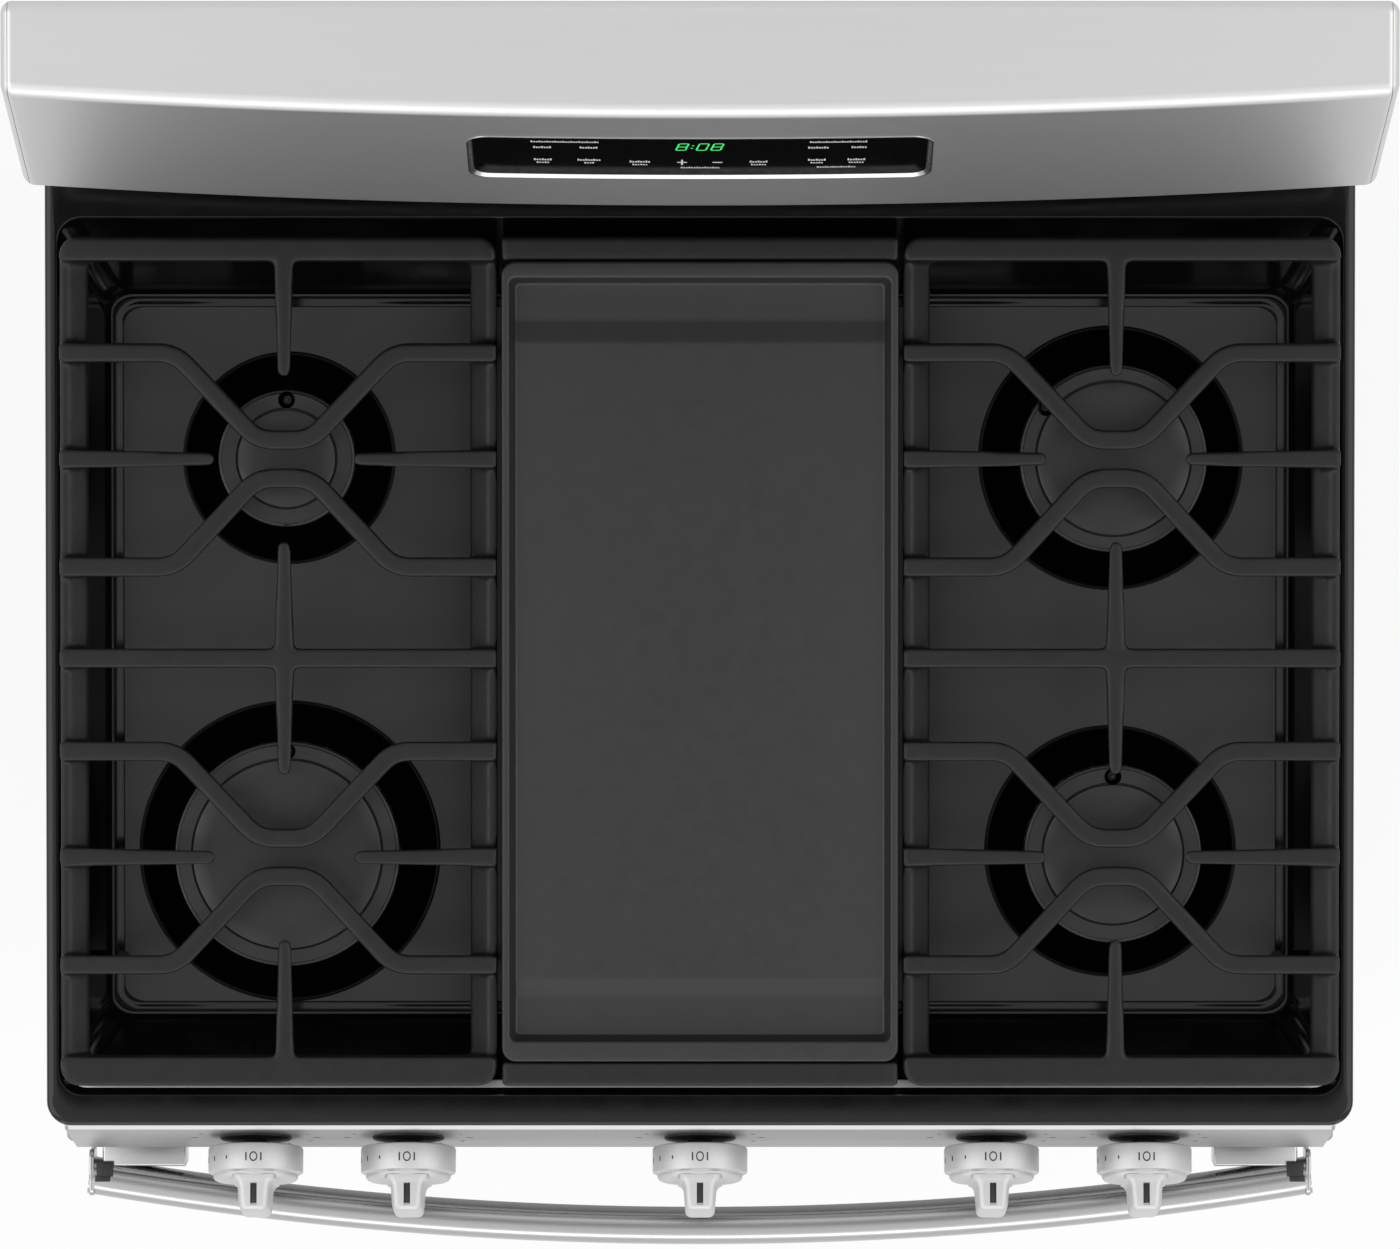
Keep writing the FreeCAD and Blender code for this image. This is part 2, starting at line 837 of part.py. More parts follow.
def bake_burner():
    """Straight tube burner under the oven floor on two cradles."""
    z = d.cavity_z + d.bake_up
    front, back = front_y + d.bake_in, cavity_back
    tube = rod("bake_tube_body", d.bake_tube, "y", (front, back), x=0, z=z)
    reach = d.bake_tube + d.cradle_out
    cradles = [block(f"bake_cradle_{i}", (-reach, reach), (y, y + d.cradle_steel), (d.cavity_z, z))
               for i, y in enumerate((front + d.cradle_front, back - d.cradle_back))]
    node("bake_burner", fuse("bake_solid", tube, *cradles))


def broil_burner():
    """U-shaped tube burner hung from the oven's roof."""
    z = cavity_top - d.broil_down
    front, back = front_y + d.broil_in, cavity_back
    legs = [rod(f"broil_leg_{name}", d.broil_tube, "y", (front, back), x=side * d.broil_half, z=z)
            for name, side in SIDES]
    cross = rod("broil_cross", d.broil_tube, "x", (-d.broil_half, d.broil_half), y=front, z=z)
    corners = []
    for name, side in SIDES:
        ball = doc.addObject("Part::Sphere", f"broil_corner_{name}")
        bind(ball, "Radius", d.broil_tube)
        corners.append(place(ball, side * d.broil_half, front, z))
    hang_y = (front + d.hanger_in, front + d.hanger_in + d.hanger_steel)
    hangers = [block(f"broil_hanger_{name}",
                     (side * d.broil_half - d.hanger_half, side * d.broil_half + d.hanger_half),
                     hang_y, (z, cavity_top)) for name, side in SIDES]
    node("broil_burner", fuse("broil_solid", *legs, cross, *corners, *hangers))


def oven_racks():
    """Two welded wire racks on their ledges."""
    racks = []
    reach = CAVITY_HALF - d.rack_play
    front, back = front_y + d.rack_in, cavity_back - d.rack_off
    for level in RACK_LEDGES:
        z = d.ledge_z + level * d.ledge_pitch + d.rack_wire
        wires = [rod(f"rack_{level}_side_{name}", d.rack_wire, "y", (front, back),
                     x=side * reach, z=z) for name, side in SIDES]
        for step, y in enumerate((front, (front + back) / 2, back)):
            wires.append(rod(f"rack_{level}_cross_{step}", d.rack_wire, "x", (-reach, reach), y=y, z=z))
        for step in range(1 - RACK_GAPS, RACK_GAPS):
            wires.append(rod(f"rack_{level}_wire_{step}", d.rack_rod, "y", (front, back),
                             x=step * reach / RACK_GAPS, z=z + d.rack_wire))
        racks.append(fuse(f"rack_{level}", *wires))
    node("oven_racks", group("rack_pair", *racks))


def oven_fittings():
    """Oven lamp and temperature probe on the back wall."""
    z = cavity_top - d.lamp_down
    base = cavity_back - d.lamp_base
    node("oven_lamp", fuse(
        "lamp_solid",
        rod("lamp_socket", d.lamp_socket, "y", (base, cavity_back), x=-d.lamp_x, z=z),
        rod("lamp_glass", d.lamp_glass, "y", (cavity_back - d.lamp_long, base), x=-d.lamp_x, z=z),
    ))
    plate = cavity_back - d.probe_plate
    node("temperature_sensor", fuse(
        "probe_solid",
        rod("probe_flange", d.probe_flange, "y", (plate, cavity_back), x=d.probe_x, z=z),
        rod("probe_stem", d.probe, "y", (cavity_back - d.probe_long, plate), x=d.probe_x, z=z),
    ))


def vent_duct():
    """Duct from the back of the oven up into the backguard."""
    top = cavity_top - d.duct_down
    back = riser_y + d.duct_clear + d.duct_deep
    parts = {}
    for name, wall in (("outer", Size(0, "0")), ("inner", d.sheet)):
        x = (-d.duct_half + wall, d.duct_half - wall)
        end = 0 if name == "outer" else d.sheet
        start = cavity_back + d.liner
        low = block(f"duct_{name}_low", x, (start, back - wall), (top - d.duct_high + wall, top - wall))
        tall = block(f"duct_{name}_tall", x, (back - d.duct_deep + wall, back - wall),
                     (top - d.duct_high + end, d.rim_z + d.duct_rise))
        parts[name] = fuse(f"duct_{name}", low, tall)
    node("vent_duct", cut("duct_solid", parts["outer"], parts["inner"]))


# ---- Cooktop and its burners -------------------------------------------------

def burner_place(side, row):
    """Plan position of a round burner."""
    return side * d.burner_x, pan_mid + row * d.burner_pitch / 2


def round_burner(name, side, row, spark_x, spark_y):
    """A burner's place, its radii by name and its igniter's place."""
    x, y = burner_place(side, row)
    radii = {part: getattr(d, f"{part}_{name}") for part in ("bowl", "head", "cap")}
    return SimpleNamespace(name=name, x=x, y=y, spark={"x": x + spark_x, "y": y + spark_y}, **radii)


BURNERS = (
    round_burner("lr", -1, 1, 0, d.spark_lr),
    round_burner("lf", -1, -1, 0, d.spark_lf),
    round_burner("rr", 1, 1, -d.spark_rr_x, d.spark_rr_y),
    round_burner("rf", 1, -1, 0, d.spark_rf),
)


def stadium(name, radius, long, z):
    """An oval disc on the middle line, its long way from front to back."""
    reach = long / 2 - radius
    return fuse(
        name,
        rod(name + "_front", radius, "z", z, x=0, y=pan_mid - reach),
        rod(name + "_back", radius, "z", z, x=0, y=pan_mid + reach),
        block(name + "_middle", (-radius, radius), (pan_mid - reach, pan_mid + reach), z),
    )


def cooktop():
    """Pressed enamelled top: rim, sloping pan and a bowl under each burner."""
    steel = d.pan_steel
    top = ((-half + d.pan_side, half - d.pan_side), (pan_front, pan_back))
    low = (
        (top[0][0] + d.pan_slope, top[0][1] - d.pan_slope),
        (pan_front + d.pan_slope_y, pan_back - d.pan_slope_y),
    )
    outer = [tuple((a - steel, b + steel) for a, b in rect) for rect in (low, top)]
    rim = rounded_plate("rim", (-half, half), (front_y - d.lip_out, riser_y),
                        (deck_z, d.rim_z), d.rim_corner)
    inner, seat = d.oval_bowl, d.oval_bowl + d.oval_wall
    base = (bowl_floor - steel, bowl_floor)
    shell = [
        rim,
        frustum("pan_outer", outer[0], outer[1], (pan_floor - steel, deck_z)),
        stadium("oval_seat", d.oval_wide / 2 + seat, d.oval_long + 2 * seat, (base[0], pan_floor)),
    ]
    hollow = [
        frustum("pan_inner", low, top, (pan_floor, d.rim_z)),
        stadium("oval_bowl", d.oval_wide / 2 + inner, d.oval_long + 2 * inner, (bowl_floor, pan_floor)),
        rod("oval_hole", d.throat + d.throat_play, "z", base, x=0, y=pan_mid),
    ]
    for burner in BURNERS:
        name, x, y = burner.name, burner.x, burner.y
        foot = burner.head - d.bowl_foot
        shell.append(cone(f"bowl_{name}_out", foot + steel, burner.bowl + steel, (base[0], pan_floor), x, y))
        hollow.append(cone(f"bowl_{name}_in", foot, burner.bowl, (bowl_floor, pan_floor), x, y))
        hollow.append(rod(f"bowl_{name}_hole", d.throat + d.throat_play, "z", base, x=x, y=y))
    node("cooktop", cut("cooktop_solid", fuse("cooktop_shell", *shell), *hollow))


def burners():
    """Heads, caps and igniters of the four round burners and the oval one."""
    heads, caps, sparks = [], [], []
    holder_top = d.tube_z + d.holder_up
    rim_low = bowl_floor + d.head_rim + d.collar_up
    rim_high = bowl_floor + d.head_rim + d.head_high
    ports = rim_high + d.port_high
    for burner in BURNERS:
        name, x, y = burner.name, burner.x, burner.y
        under = rim_high - d.head_edge
        solid = fuse(
            f"head_{name}_solid",
            rod(f"head_{name}_throat", d.throat, "z", (holder_top, bowl_floor), x=x, y=y),
            rod(f"head_{name}_collar", d.collar, "z", (bowl_floor, rim_low), x=x, y=y),
            cone(f"head_{name}_under", d.collar, burner.head, (rim_low, under), x, y),
            rod(f"head_{name}_rim", burner.head, "z", (under, rim_high), x=x, y=y),
            rod(f"head_{name}_ports", burner.cap - d.port_step, "z", (rim_high, ports), x=x, y=y),
        )
        hole = rod(f"head_{name}_spark_hole", d.igniter + d.spark_play, "z", (bowl_floor, rim_high),
                   **burner.spark)
        heads.append(cut(f"head_{name}", solid, hole))
        caps.append(rounded_disc(f"cap_{name}", burner.cap, (ports, ports + d.cap_thick), x, y))
        sparks.append(rod(f"igniter_{name}", d.igniter, "z",
                          (bowl_floor + d.spark_up, rim_high + d.spark_over), **burner.spark))
    width = d.oval_wide / 2
    heads.append(fuse(
        "head_oval",
        rod("oval_throat", d.throat, "z", (holder_top, bowl_floor), x=0, y=pan_mid),
        stadium("oval_head", width, d.oval_long, (bowl_floor, rim_high)),
    ))
    caps.append(stadium("oval_cap", width - d.oval_cap_step, d.oval_long - 2 * d.oval_cap_step,
                        (rim_high, rim_high + d.cap_thick)))
    sparks.append(rod("igniter_oval", d.igniter, "z", (bowl_floor, rim_high), x=0,
                      y=pan_mid + d.oval_long / 2 + d.igniter))
    node("burner_heads", group("head_set", *heads))
    node("burner_caps", group("cap_set", *caps))
    node("igniters", group("igniter_set", *sparks))


def rounded_disc(name, radius, z, x, y):
    """A disc whose upper edge is turned down by a short cone."""
    low, high = z
    return fuse(
        name,
        rod(name + "_band", radius, "z", (low, high - d.cap_crown), x=x, y=y),
        cone(name + "_crown", radius, radius - d.cap_turn, (high - d.cap_crown, high), x, y),
    )


# ---- Gas supply --------------------------------------------------------------

MANIFOLD_Y = knob_y + (d.valve_near + d.valve_far) / 2 * cosine(d.panel_lean)
MANIFOLD_Z = d.knob_z - (d.valve_near + d.valve_far) / 2 * sine(d.panel_lean) - d.manifold_drop


def knob_axis(piece, x):
    """Stand a piece on the knob panel's face at one knob."""
    return tilted(piece, d.panel_lean, x, knob_y, d.knob_z)


def stand(name, radius, ends, x):
    """A round bar along a knob's axis, between two distances from the panel's face."""
    piece = doc.addObject("Part::Cylinder", name)
    bind(piece, "Radius", radius)
    bind(piece, "Height", as_size(ends[1]) - ends[0])
    piece.Placement = Placement(Vector(), Rotation(Vector(1, 0, 0), 90 - d.panel_lean.value))
    bind(piece, "Placement.Rotation.Angle", 90 - d.panel_lean)
    return place(piece, x, knob_y - ends[0] * cosine(d.panel_lean),
                 d.knob_z + ends[0] * sine(d.panel_lean))


def gas_valves():
    """A valve on the manifold behind each knob, bored for its stem."""
    made = []
    pipe = rod("manifold_seat", d.manifold, "x", (-half, half), y=MANIFOLD_Y, z=MANIFOLD_Z)
    for i, x in enumerate(KNOB_X, 1):
        saddle = block(f"valve_{i}_saddle", (x - d.saddle_half, x + d.saddle_half),
                       (MANIFOLD_Y - d.saddle_half, MANIFOLD_Y + d.saddle_back),
                       (MANIFOLD_Z, MANIFOLD_Z + d.manifold_drop))
        body = stand(f"valve_{i}_body", d.valve, (-d.valve_far, -d.valve_near), x)
        bore = stand(f"valve_{i}_bore", d.stem + d.fit, (-d.valve_far + d.bore_stop, -d.valve_near), x)
        made.append(cut(f"valve_{i}", fuse(f"valve_{i}_solid", saddle, body), bore, pipe))
    node("gas_valves", group("valve_set", *made))


def gas_manifold():
    """Pipe that joins the regulator to all five valves."""
    corner_x = d.inlet_x + d.manifold_side
    node("gas_manifold", bent_tube("manifold_pipe", d.manifold, [
        (-d.knob_outer - d.manifold_over, MANIFOLD_Y, MANIFOLD_Z), (corner_x, MANIFOLD_Y, MANIFOLD_Z),
        (corner_x, d.back_y - d.regulator_out, MANIFOLD_Z)]))


def gas_tubes():
    """A bent tube from each valve to the orifice holder under its burner."""
    made = []
    start_y = knob_y + d.valve_far * cosine(d.panel_lean) + d.tube_off
    start_z = d.knob_z - d.tube_down
    turn_y = start_y + d.tube_run
    low_z = d.tube_z - d.tube_drop
    routes = [(KNOB_X[0], *burner_place(-1, -1)), (KNOB_X[1], *burner_place(-1, 1)),
              (KNOB_X[3], *burner_place(1, 1)), (KNOB_X[4], *burner_place(1, -1))]
    for i, (knob_x, x, y) in enumerate(routes, 1):
        side = 1 if knob_x.value > x.value else -1
        made.append(bent_tube(f"tube_{i}", d.gas_tube, [
            (knob_x, start_y, start_z), (knob_x, turn_y, low_z),
            (knob_x, y, low_z), (x + side * d.holder, y, low_z)]))
        made.append(holder(i, x, y))
    made.append(bent_tube("tube_5", d.gas_tube, [
        (0, start_y, start_z), (0, turn_y, low_z), (0, pan_mid - d.holder, low_z)]))
    made.append(holder(5, Size(0, "0"), pan_mid))
    node("gas_tubes", group("tube_set", *made))


def holder(i, x, y):
    """The orifice holder that stands under a burner's throat."""
    return rod(f"holder_{i}", d.holder, "z", (d.tube_z - d.holder_low, d.tube_z + d.holder_up), x=x, y=y)


def pressure_regulator():
    """Regulator at the back with a threaded inlet through the back panel."""
    x, z = d.inlet_x, d.inlet_z
    front = d.back_y - d.regulator_out
    back = front + d.regulator_long
    body = rod("regulator_body", d.regulator, "y", (front, back), x=x, z=z)
    neck = rod("regulator_neck", d.inlet_neck, "y", (back, d.back_y), x=x, z=z)
    bore = rod("inlet_bore", d.inlet_bore, "y", (d.back_y - d.inlet_deep, d.back_y), x=x, z=z)
    arm_y = front + d.arm_in
    bracket = block("regulator_bracket", (x + d.arm_in, inner_x), (arm_y, arm_y + d.arm_steel),
                    (z - d.arm_half, z + d.arm_half))
    node("pressure_regulator", cut("regulator_solid", fuse("regulator_blank", body, neck, bracket), bore))


def spark_module():
    """Ignition module on the left side panel."""
    back = d.back_y - d.spark_back
    node("spark_module", block("spark_box", (-inner_x, -inner_x + d.spark_wide), (back - d.spark_long, back),
                               (d.spark_z, d.spark_z + d.spark_high)))


# ---- Knob panel, valve stems and knobs ----------------------------------------

def control_panel():
    """Slanted panel with a hole for each stem."""
    thick = d.panel_thick
    reach = side_x - d.panel_side
    bent = profile("panel_sheet", "YZ_Plane", [
        (panel_y, d.panel_top), (panel_y + thick, d.panel_top),
        (panel_foot_y + thick, d.panel_z + thick), (face_y, d.panel_z + thick),
        (face_y, d.panel_z), (panel_foot_y, d.panel_z),
    ], (-reach, reach))
    holes = [stand(f"panel_hole_{i}", d.stem_hole, (-d.hole_reach, d.hole_reach), x)
             for i, x in enumerate(KNOB_X, 1)]
    ends = [
        profile(f"panel_end_{name}", "YZ_Plane", [
            (panel_y + 2 * thick, deck_z), (pan_front - d.panel_end_in, deck_z),
            (face_y, deck_z - d.lip_out / 2), (face_y, d.panel_z + thick),
            (panel_foot_y + thick, d.panel_z + thick),
        ], span(side, reach - d.panel_end, reach))
        for name, side in SIDES
    ]
    node("control_panel", cut("panel_pierced", fuse("panel_blank", bent, *ends), *holes))


def stems_and_knobs():
    """Each valve's turning stem and the knob pushed on to it."""
    for i, x in enumerate(KNOB_X, 1):
        skirt_top = d.knob_lift + d.skirt_high
        node(f"valve_stem_{i}", stand(f"stem_{i}_bar", d.stem, (-d.valve_far + d.stem_stop, skirt_top), x))
        tier_top = skirt_top + d.tier_high
        grip = doc.addObject("Part::Box", f"knob_{i}_grip")
        bind(grip, "Length", d.knob_grip)
        reach = d.knob_tier - d.grip_in
        bind(grip, "Width", 2 * reach)
        bind(grip, "Height", d.knob_high - tier_top)
        knob_axis(grip, x)
        lean_cos, lean_sin = cosine(d.panel_lean), sine(d.panel_lean)
        place(grip, x - d.knob_grip / 2,
              knob_y - tier_top * lean_cos - reach * lean_sin,
              d.knob_z + tier_top * lean_sin - reach * lean_cos)
        solid = fuse(
            f"knob_{i}_solid",
            stand(f"knob_{i}_hub", d.knob_hub, (d.knob_lift - d.hub_high, d.knob_lift), x),
            stand(f"knob_{i}_skirt", d.knob_skirt, (d.knob_lift, skirt_top), x),
            stand(f"knob_{i}_tier", d.knob_tier, (skirt_top, tier_top), x),
            grip,
        )
        bore = stand(f"knob_{i}_bore", d.stem + d.fit,
                     (d.knob_lift - d.hub_high, skirt_top + d.knob_travel + d.bore_over), x)
        node(f"knob_{i}", cut(f"knob_{i}_bored", solid, bore))


# ---- Backguard -----------------------------------------------------------------

VENT_SLOTS = 6


def backguard_riser():
    """Sheet box that carries the console, with the oven vent low on its front."""
    wall = d.sheet
    low = deck_z
    tube = cut(
        "riser_tube",
        block("riser_outer", (-side_x, side_x), (riser_y, d.back_y), (low, console_z)),
        block("riser_inner", (-side_x + wall, side_x - wall), (riser_y + wall, d.back_y - wall),
              (low, console_z)),
    )
    level = (d.rim_z + d.vent_low, d.rim_z + d.vent_low + d.vent_high)
    vents = []
    for i in range(VENT_SLOTS):
        middle = (i - (VENT_SLOTS - 1) / 2) * d.vent_pitch
        vents.append(block(f"vent_slot_{i}", (middle - d.vent_half, middle + d.vent_half),
                           (riser_y, riser_y + wall), level))
    node("backguard_riser", cut("riser_pierced", tube, *vents))


def console_cone(name, inset):
    """The bowed, leaning face of the console, as a very wide cone, less an inset."""
    radius = d.console_bow - inset
    foot = radius + d.console_high * tangent(d.console_lean)
    return cone(name, foot, radius, (console_z, d.crown_z), 0, crown_y + d.console_bow)


def on_console(piece, along, up, out):
    """Place a piece on the console's slanted face, from the glass's middle."""
    lean_cos, lean_sin = cosine(d.console_lean), sine(d.console_lean)
    down = d.glass_down - up
    return tilted(piece, d.console_lean, along,
                  crown_y - down * lean_sin - out * lean_cos,
                  d.crown_z - down * lean_cos + out * lean_sin)


def console_plate(name, wide, high, ends):
    """A flat rectangular plate on the console's face, between two depths."""
    piece = doc.addObject("Part::Box", name)
    bind(piece, "Length", wide)
    bind(piece, "Width", high)
    bind(piece, "Height", as_size(ends[1]) - ends[0])
    return on_console(piece, -wide / 2, -high / 2, ends[0])


def console():
    """Bowed shell, end caps, touch glass and the board behind it."""
    thick = d.console_steel
    reach = half - d.end_cap
    low_back = console_back - d.console_bow
    outer = common(
        "console_outer",
        block("console_outer_block", (-reach, reach), (low_back, console_back), (console_z, d.crown_z)),
        console_cone("console_outer_cone", 0),
    )
    inner = common(
        "console_inner",
        block("console_inner_block", (-reach, reach), (low_back, console_back - thick),
              (console_z + thick, d.crown_z - thick)),
        console_cone("console_inner_cone", thick),
    )
    opening = console_plate("glass_opening", d.glass_wide + 2 * d.gap, d.glass_high + 2 * d.gap,
                            (-d.opening_reach, d.opening_reach))
    node("console_shell", cut("console_solid", outer, inner, opening))
    caps = [
        common(f"cap_{name}_solid",
               block(f"cap_{name}_block", span(side, reach, half), (low_back, console_back),
                     (console_z, d.crown_z)),
               console_cone(f"cap_{name}_cone", 0))
        for name, side in SIDES
    ]
    node("console_end_caps", group("end_cap_pair", *caps))
    sink = d.glass_sink
    node("touch_glass", console_plate("glass_plate", d.glass_wide, d.glass_high, (-sink - d.glass, -sink)))
    board_top = -sink - d.glass
    board = console_plate("board_plate", d.glass_wide + 2 * d.board_side, d.glass_high + 2 * d.board_end,
                          (board_top - d.board_thick, board_top))
    chips = console_plate("board_chips", d.glass_wide / 2, d.glass_high / 2,
                          (board_top - d.board_thick - d.chips_high, board_top - d.board_thick))
    posts = []
    for name, side in SIDES:
        post = doc.addObject("Part::Box", f"board_post_{name}")
        bind(post, "Length", d.post_wide)
        bind(post, "Width", d.glass_high)
        bind(post, "Height", d.post_high)
        middle = side * (d.glass_wide / 2 + d.post_out)
        posts.append(on_console(post, middle - d.post_wide / 2, -d.glass_high / 2, board_top))
    node("display_board", fuse("board_solid", board, chips, *posts))


# ---- Oven door -------------------------------------------------------------------

DOOR_HALF = d.door_wide / 2
WINDOW_HALF = d.window_wide / 2
WINDOW_Z = (d.window_z, d.window_z + d.window_high)
TRAY_BACK = front_y - d.door_stand
DOOR_BACK = front_y - d.door_back
INNER_Z = (hinge_z + d.hinge_ear + d.plug_up, d.door_top - d.door_inset)


def door_panels():
    """Outer tray, inner plug, window glasses between them."""
    skin = d.door_skin
    window = ((-WINDOW_HALF, WINDOW_HALF), WINDOW_Z)
    notch = d.hinge_ear + d.notch_play
    tray = cut(
        "tray_solid",
        block("tray_outer", (-DOOR_HALF, DOOR_HALF), (door_face, TRAY_BACK), (d.door_z, d.door_top)),
        block("tray_inner", (-DOOR_HALF + skin, DOOR_HALF - skin), (door_face + skin, TRAY_BACK),
              (d.door_z + skin, d.door_top - skin)),
        block("tray_window", window[0], (door_face, door_face + skin), window[1]),
        *[block(f"tray_notch_{name}",
                (side * d.hinge_x - notch, side * d.hinge_x + notch),
                (hinge_y - notch, TRAY_BACK), (d.door_z, d.door_z + skin))
          for name, side in SIDES],
    )
    node("door_outer_panel", tray)
    lap = d.window_lap
    node("door_window", block("window_plate", (-WINDOW_HALF - lap, WINDOW_HALF + lap),
                              (door_face + skin, door_face + skin + d.glass),
                              (WINDOW_Z[0] - lap, WINDOW_Z[1] + lap)))
    reach = DOOR_HALF - d.door_inset
    plug_z = (INNER_Z[0] + d.plug_lap, INNER_Z[1] - d.plug_lap)
    plug = cut(
        "plug_solid",
        block("plug_outer", (-DOOR_HALF + skin, DOOR_HALF - skin), (TRAY_BACK - skin, TRAY_BACK), INNER_Z),
        block("plug_hollow", (-reach + skin, reach - skin), (TRAY_BACK - skin, TRAY_BACK),
              plug_z),
    )
    raised = cut(
        "plug_raised",
        block("plug_face", (-reach, reach), (TRAY_BACK, DOOR_BACK),
              (INNER_Z[0] + d.plug_edge, INNER_Z[1] - d.plug_edge)),
        block("plug_back", (-reach + skin, reach - skin), (TRAY_BACK, DOOR_BACK - skin), plug_z),
        block("plug_window", window[0], (DOOR_BACK - skin, DOOR_BACK), window[1]),
    )
    node("door_inner_panel", fuse("plug_whole", plug, raised))
    node("door_inner_glass", block("inner_glass_plate", (-WINDOW_HALF - lap, WINDOW_HALF + lap),
                                   (DOOR_BACK - skin - d.glass, DOOR_BACK - skin),
                                   (WINDOW_Z[0] - lap, WINDOW_Z[1] + lap)))


def door_hinges():
    """Two plates and a pin round each receiver ear, fixed to the door's tray."""
    made = []
    for name, side in SIDES:
        middle = side * d.hinge_x
        inner = d.hinge_ear + d.hinge_play
        outer = inner + d.hinge_plate
        near, top = door_face + d.door_skin, hinge_z + d.hinge_tall
        plates = [
            block(f"hinge_{name}_{tag}", (middle + low, middle + high),
                  (near, hinge_y + d.hinge_end), (hinge_z - d.hinge_end, top))
            for tag, low, high in (("a", -outer, -inner), ("b", inner, outer))
        ]
        bridge = block(f"hinge_{name}_bridge", (middle - inner, middle + inner),
                       (near, near + d.hinge_plate), (hinge_z + d.hinge_foot, top))
        pin = rod(f"hinge_{name}_pin", d.hinge_pin, "x", (middle - outer, middle + outer),
                  y=hinge_y, z=hinge_z)
        made.append(fuse(f"hinge_{name}", *plates, bridge, pin))
    node("door_hinges", group("hinge_pair", *made))


def arc_bar(name, radius, z):
    """An upright cylinder round the handle's far centre, between two heights."""
    return rod(name, radius, "z", z, x=0, y=front_y - d.door_front - d.handle_out + d.handle_bow)


def door_handle():
    """Bowed bar on two brackets."""
    z = (d.handle_z - d.handle_high / 2, d.handle_z + d.handle_high / 2)
    front = door_face - d.handle_out
    slab = block("handle_slab", (-d.handle_half, d.handle_half), (front, door_face), z)
    bar = cut("handle_solid", common("handle_front", slab, arc_bar("handle_outer", d.handle_bow, z)),
              arc_bar("handle_inner", d.handle_bow - d.handle_thick, z))
    node("handle_bar", bar)
    z = (d.handle_z - d.bracket_high / 2, d.handle_z + d.bracket_high / 2)
    brackets = [
        common(f"bracket_{name}",
               block(f"bracket_{name}_block", span(side, d.bracket_from, d.bracket_to),
                     (front, door_face), z),
               arc_bar(f"bracket_{name}_seat", d.handle_bow - d.handle_thick, z))
        for name, side in SIDES
    ]
    node("handle_brackets", group("bracket_pair", *brackets))


def door_gasket():
    """Flat ring seal on the front frame round the oven's mouth."""
    near = CAVITY_HALF + d.seal_in
    far = near + d.seal_wide
    top = cavity_top + d.seal_in
    deep = (DOOR_BACK + d.gap, face_y)
    node("door_gasket", cut(
        "gasket_solid",
        block("gasket_outer", (-far, far), deep, (d.cavity_z - d.seal_wide, top + d.seal_wide)),
        block("gasket_inner", (-near, near), deep, (d.cavity_z, top)),
    ))


# ---- Storage drawer ----------------------------------------------------------------

def drawer():
    """Hollow front, open-topped box with runners, and the cabinet's rails."""
    skin = d.door_skin
    front_back = face_y - d.drawer_stand
    node("drawer_front", cut(
        "drawer_front_solid",
        block("drawer_front_outer", (-DOOR_HALF, DOOR_HALF), (door_face, front_back),
              (d.drawer_z, d.drawer_top)),
        block("drawer_front_inner", (-DOOR_HALF + skin, DOOR_HALF - skin), (door_face + skin, front_back),
              (d.drawer_z + skin, d.drawer_top - skin)),
    ))
    box_x = d.drawer_box_wide / 2
    low = d.drawer_z + d.drawer_box_up
    high = low + d.drawer_box_high
    back = front_back + d.drawer_box_deep
    shell = cut(
        "drawer_shell",
        block("drawer_box_outer", (-box_x, box_x), (door_face + skin, back), (low, high)),
        block("drawer_box_inner", (-box_x + d.sheet, box_x - d.sheet),
              (door_face + skin + d.sheet, back - d.sheet), (low + d.sheet, high)),
    )
    level = (d.runner_z, d.runner_z + d.runner_high)
    runners = [block(f"runner_{name}", span(side, box_x, box_x + d.runner_wide),
                     (front_y + d.runner_in, back), level)
               for name, side in SIDES]
    node("drawer_box", fuse("drawer_box_solid", shell, *runners))
    rails = []
    for name, side in SIDES:
        web = box_x + d.runner_wide + d.gap
        inner, outer = box_x + d.rail_near, web + d.rail_steel
        length = (front_y + d.sheet, back + d.rail_over)
        slide = (level[0] - d.gap, level[1] + d.gap)
        channel = cut(
            f"rail_{name}_channel",
            block(f"rail_{name}_outer", span(side, inner, outer), length,
                  (slide[0] - d.rail_steel, slide[1] + d.rail_steel)),
            block(f"rail_{name}_inner", span(side, inner, web), length, slide),
        )
        mounts = [block(f"rail_{name}_mount_{i}", span(side, outer, inner_x), (y, y + d.mount_long), level)
                  for i, y in enumerate((front_y + d.mount_front, back - d.mount_back))]
        rails.append(fuse(f"rail_{name}", channel, *mounts))
    node("drawer_rails", group("rail_pair", *rails))


# ---- Grates and griddle --------------------------------------------------------------

GRATE_Y = (pan_front + d.grate_front, pan_back - d.grate_back)
BAR_Z = (d.grate_z - d.bar_high, d.grate_z)
RAIL_Z = (d.grate_z - d.rail_drop - d.rail_high, d.grate_z - d.rail_drop)
LEG_Z = (pan_floor + d.gap, d.grate_z - d.bar_high + d.leg_root)


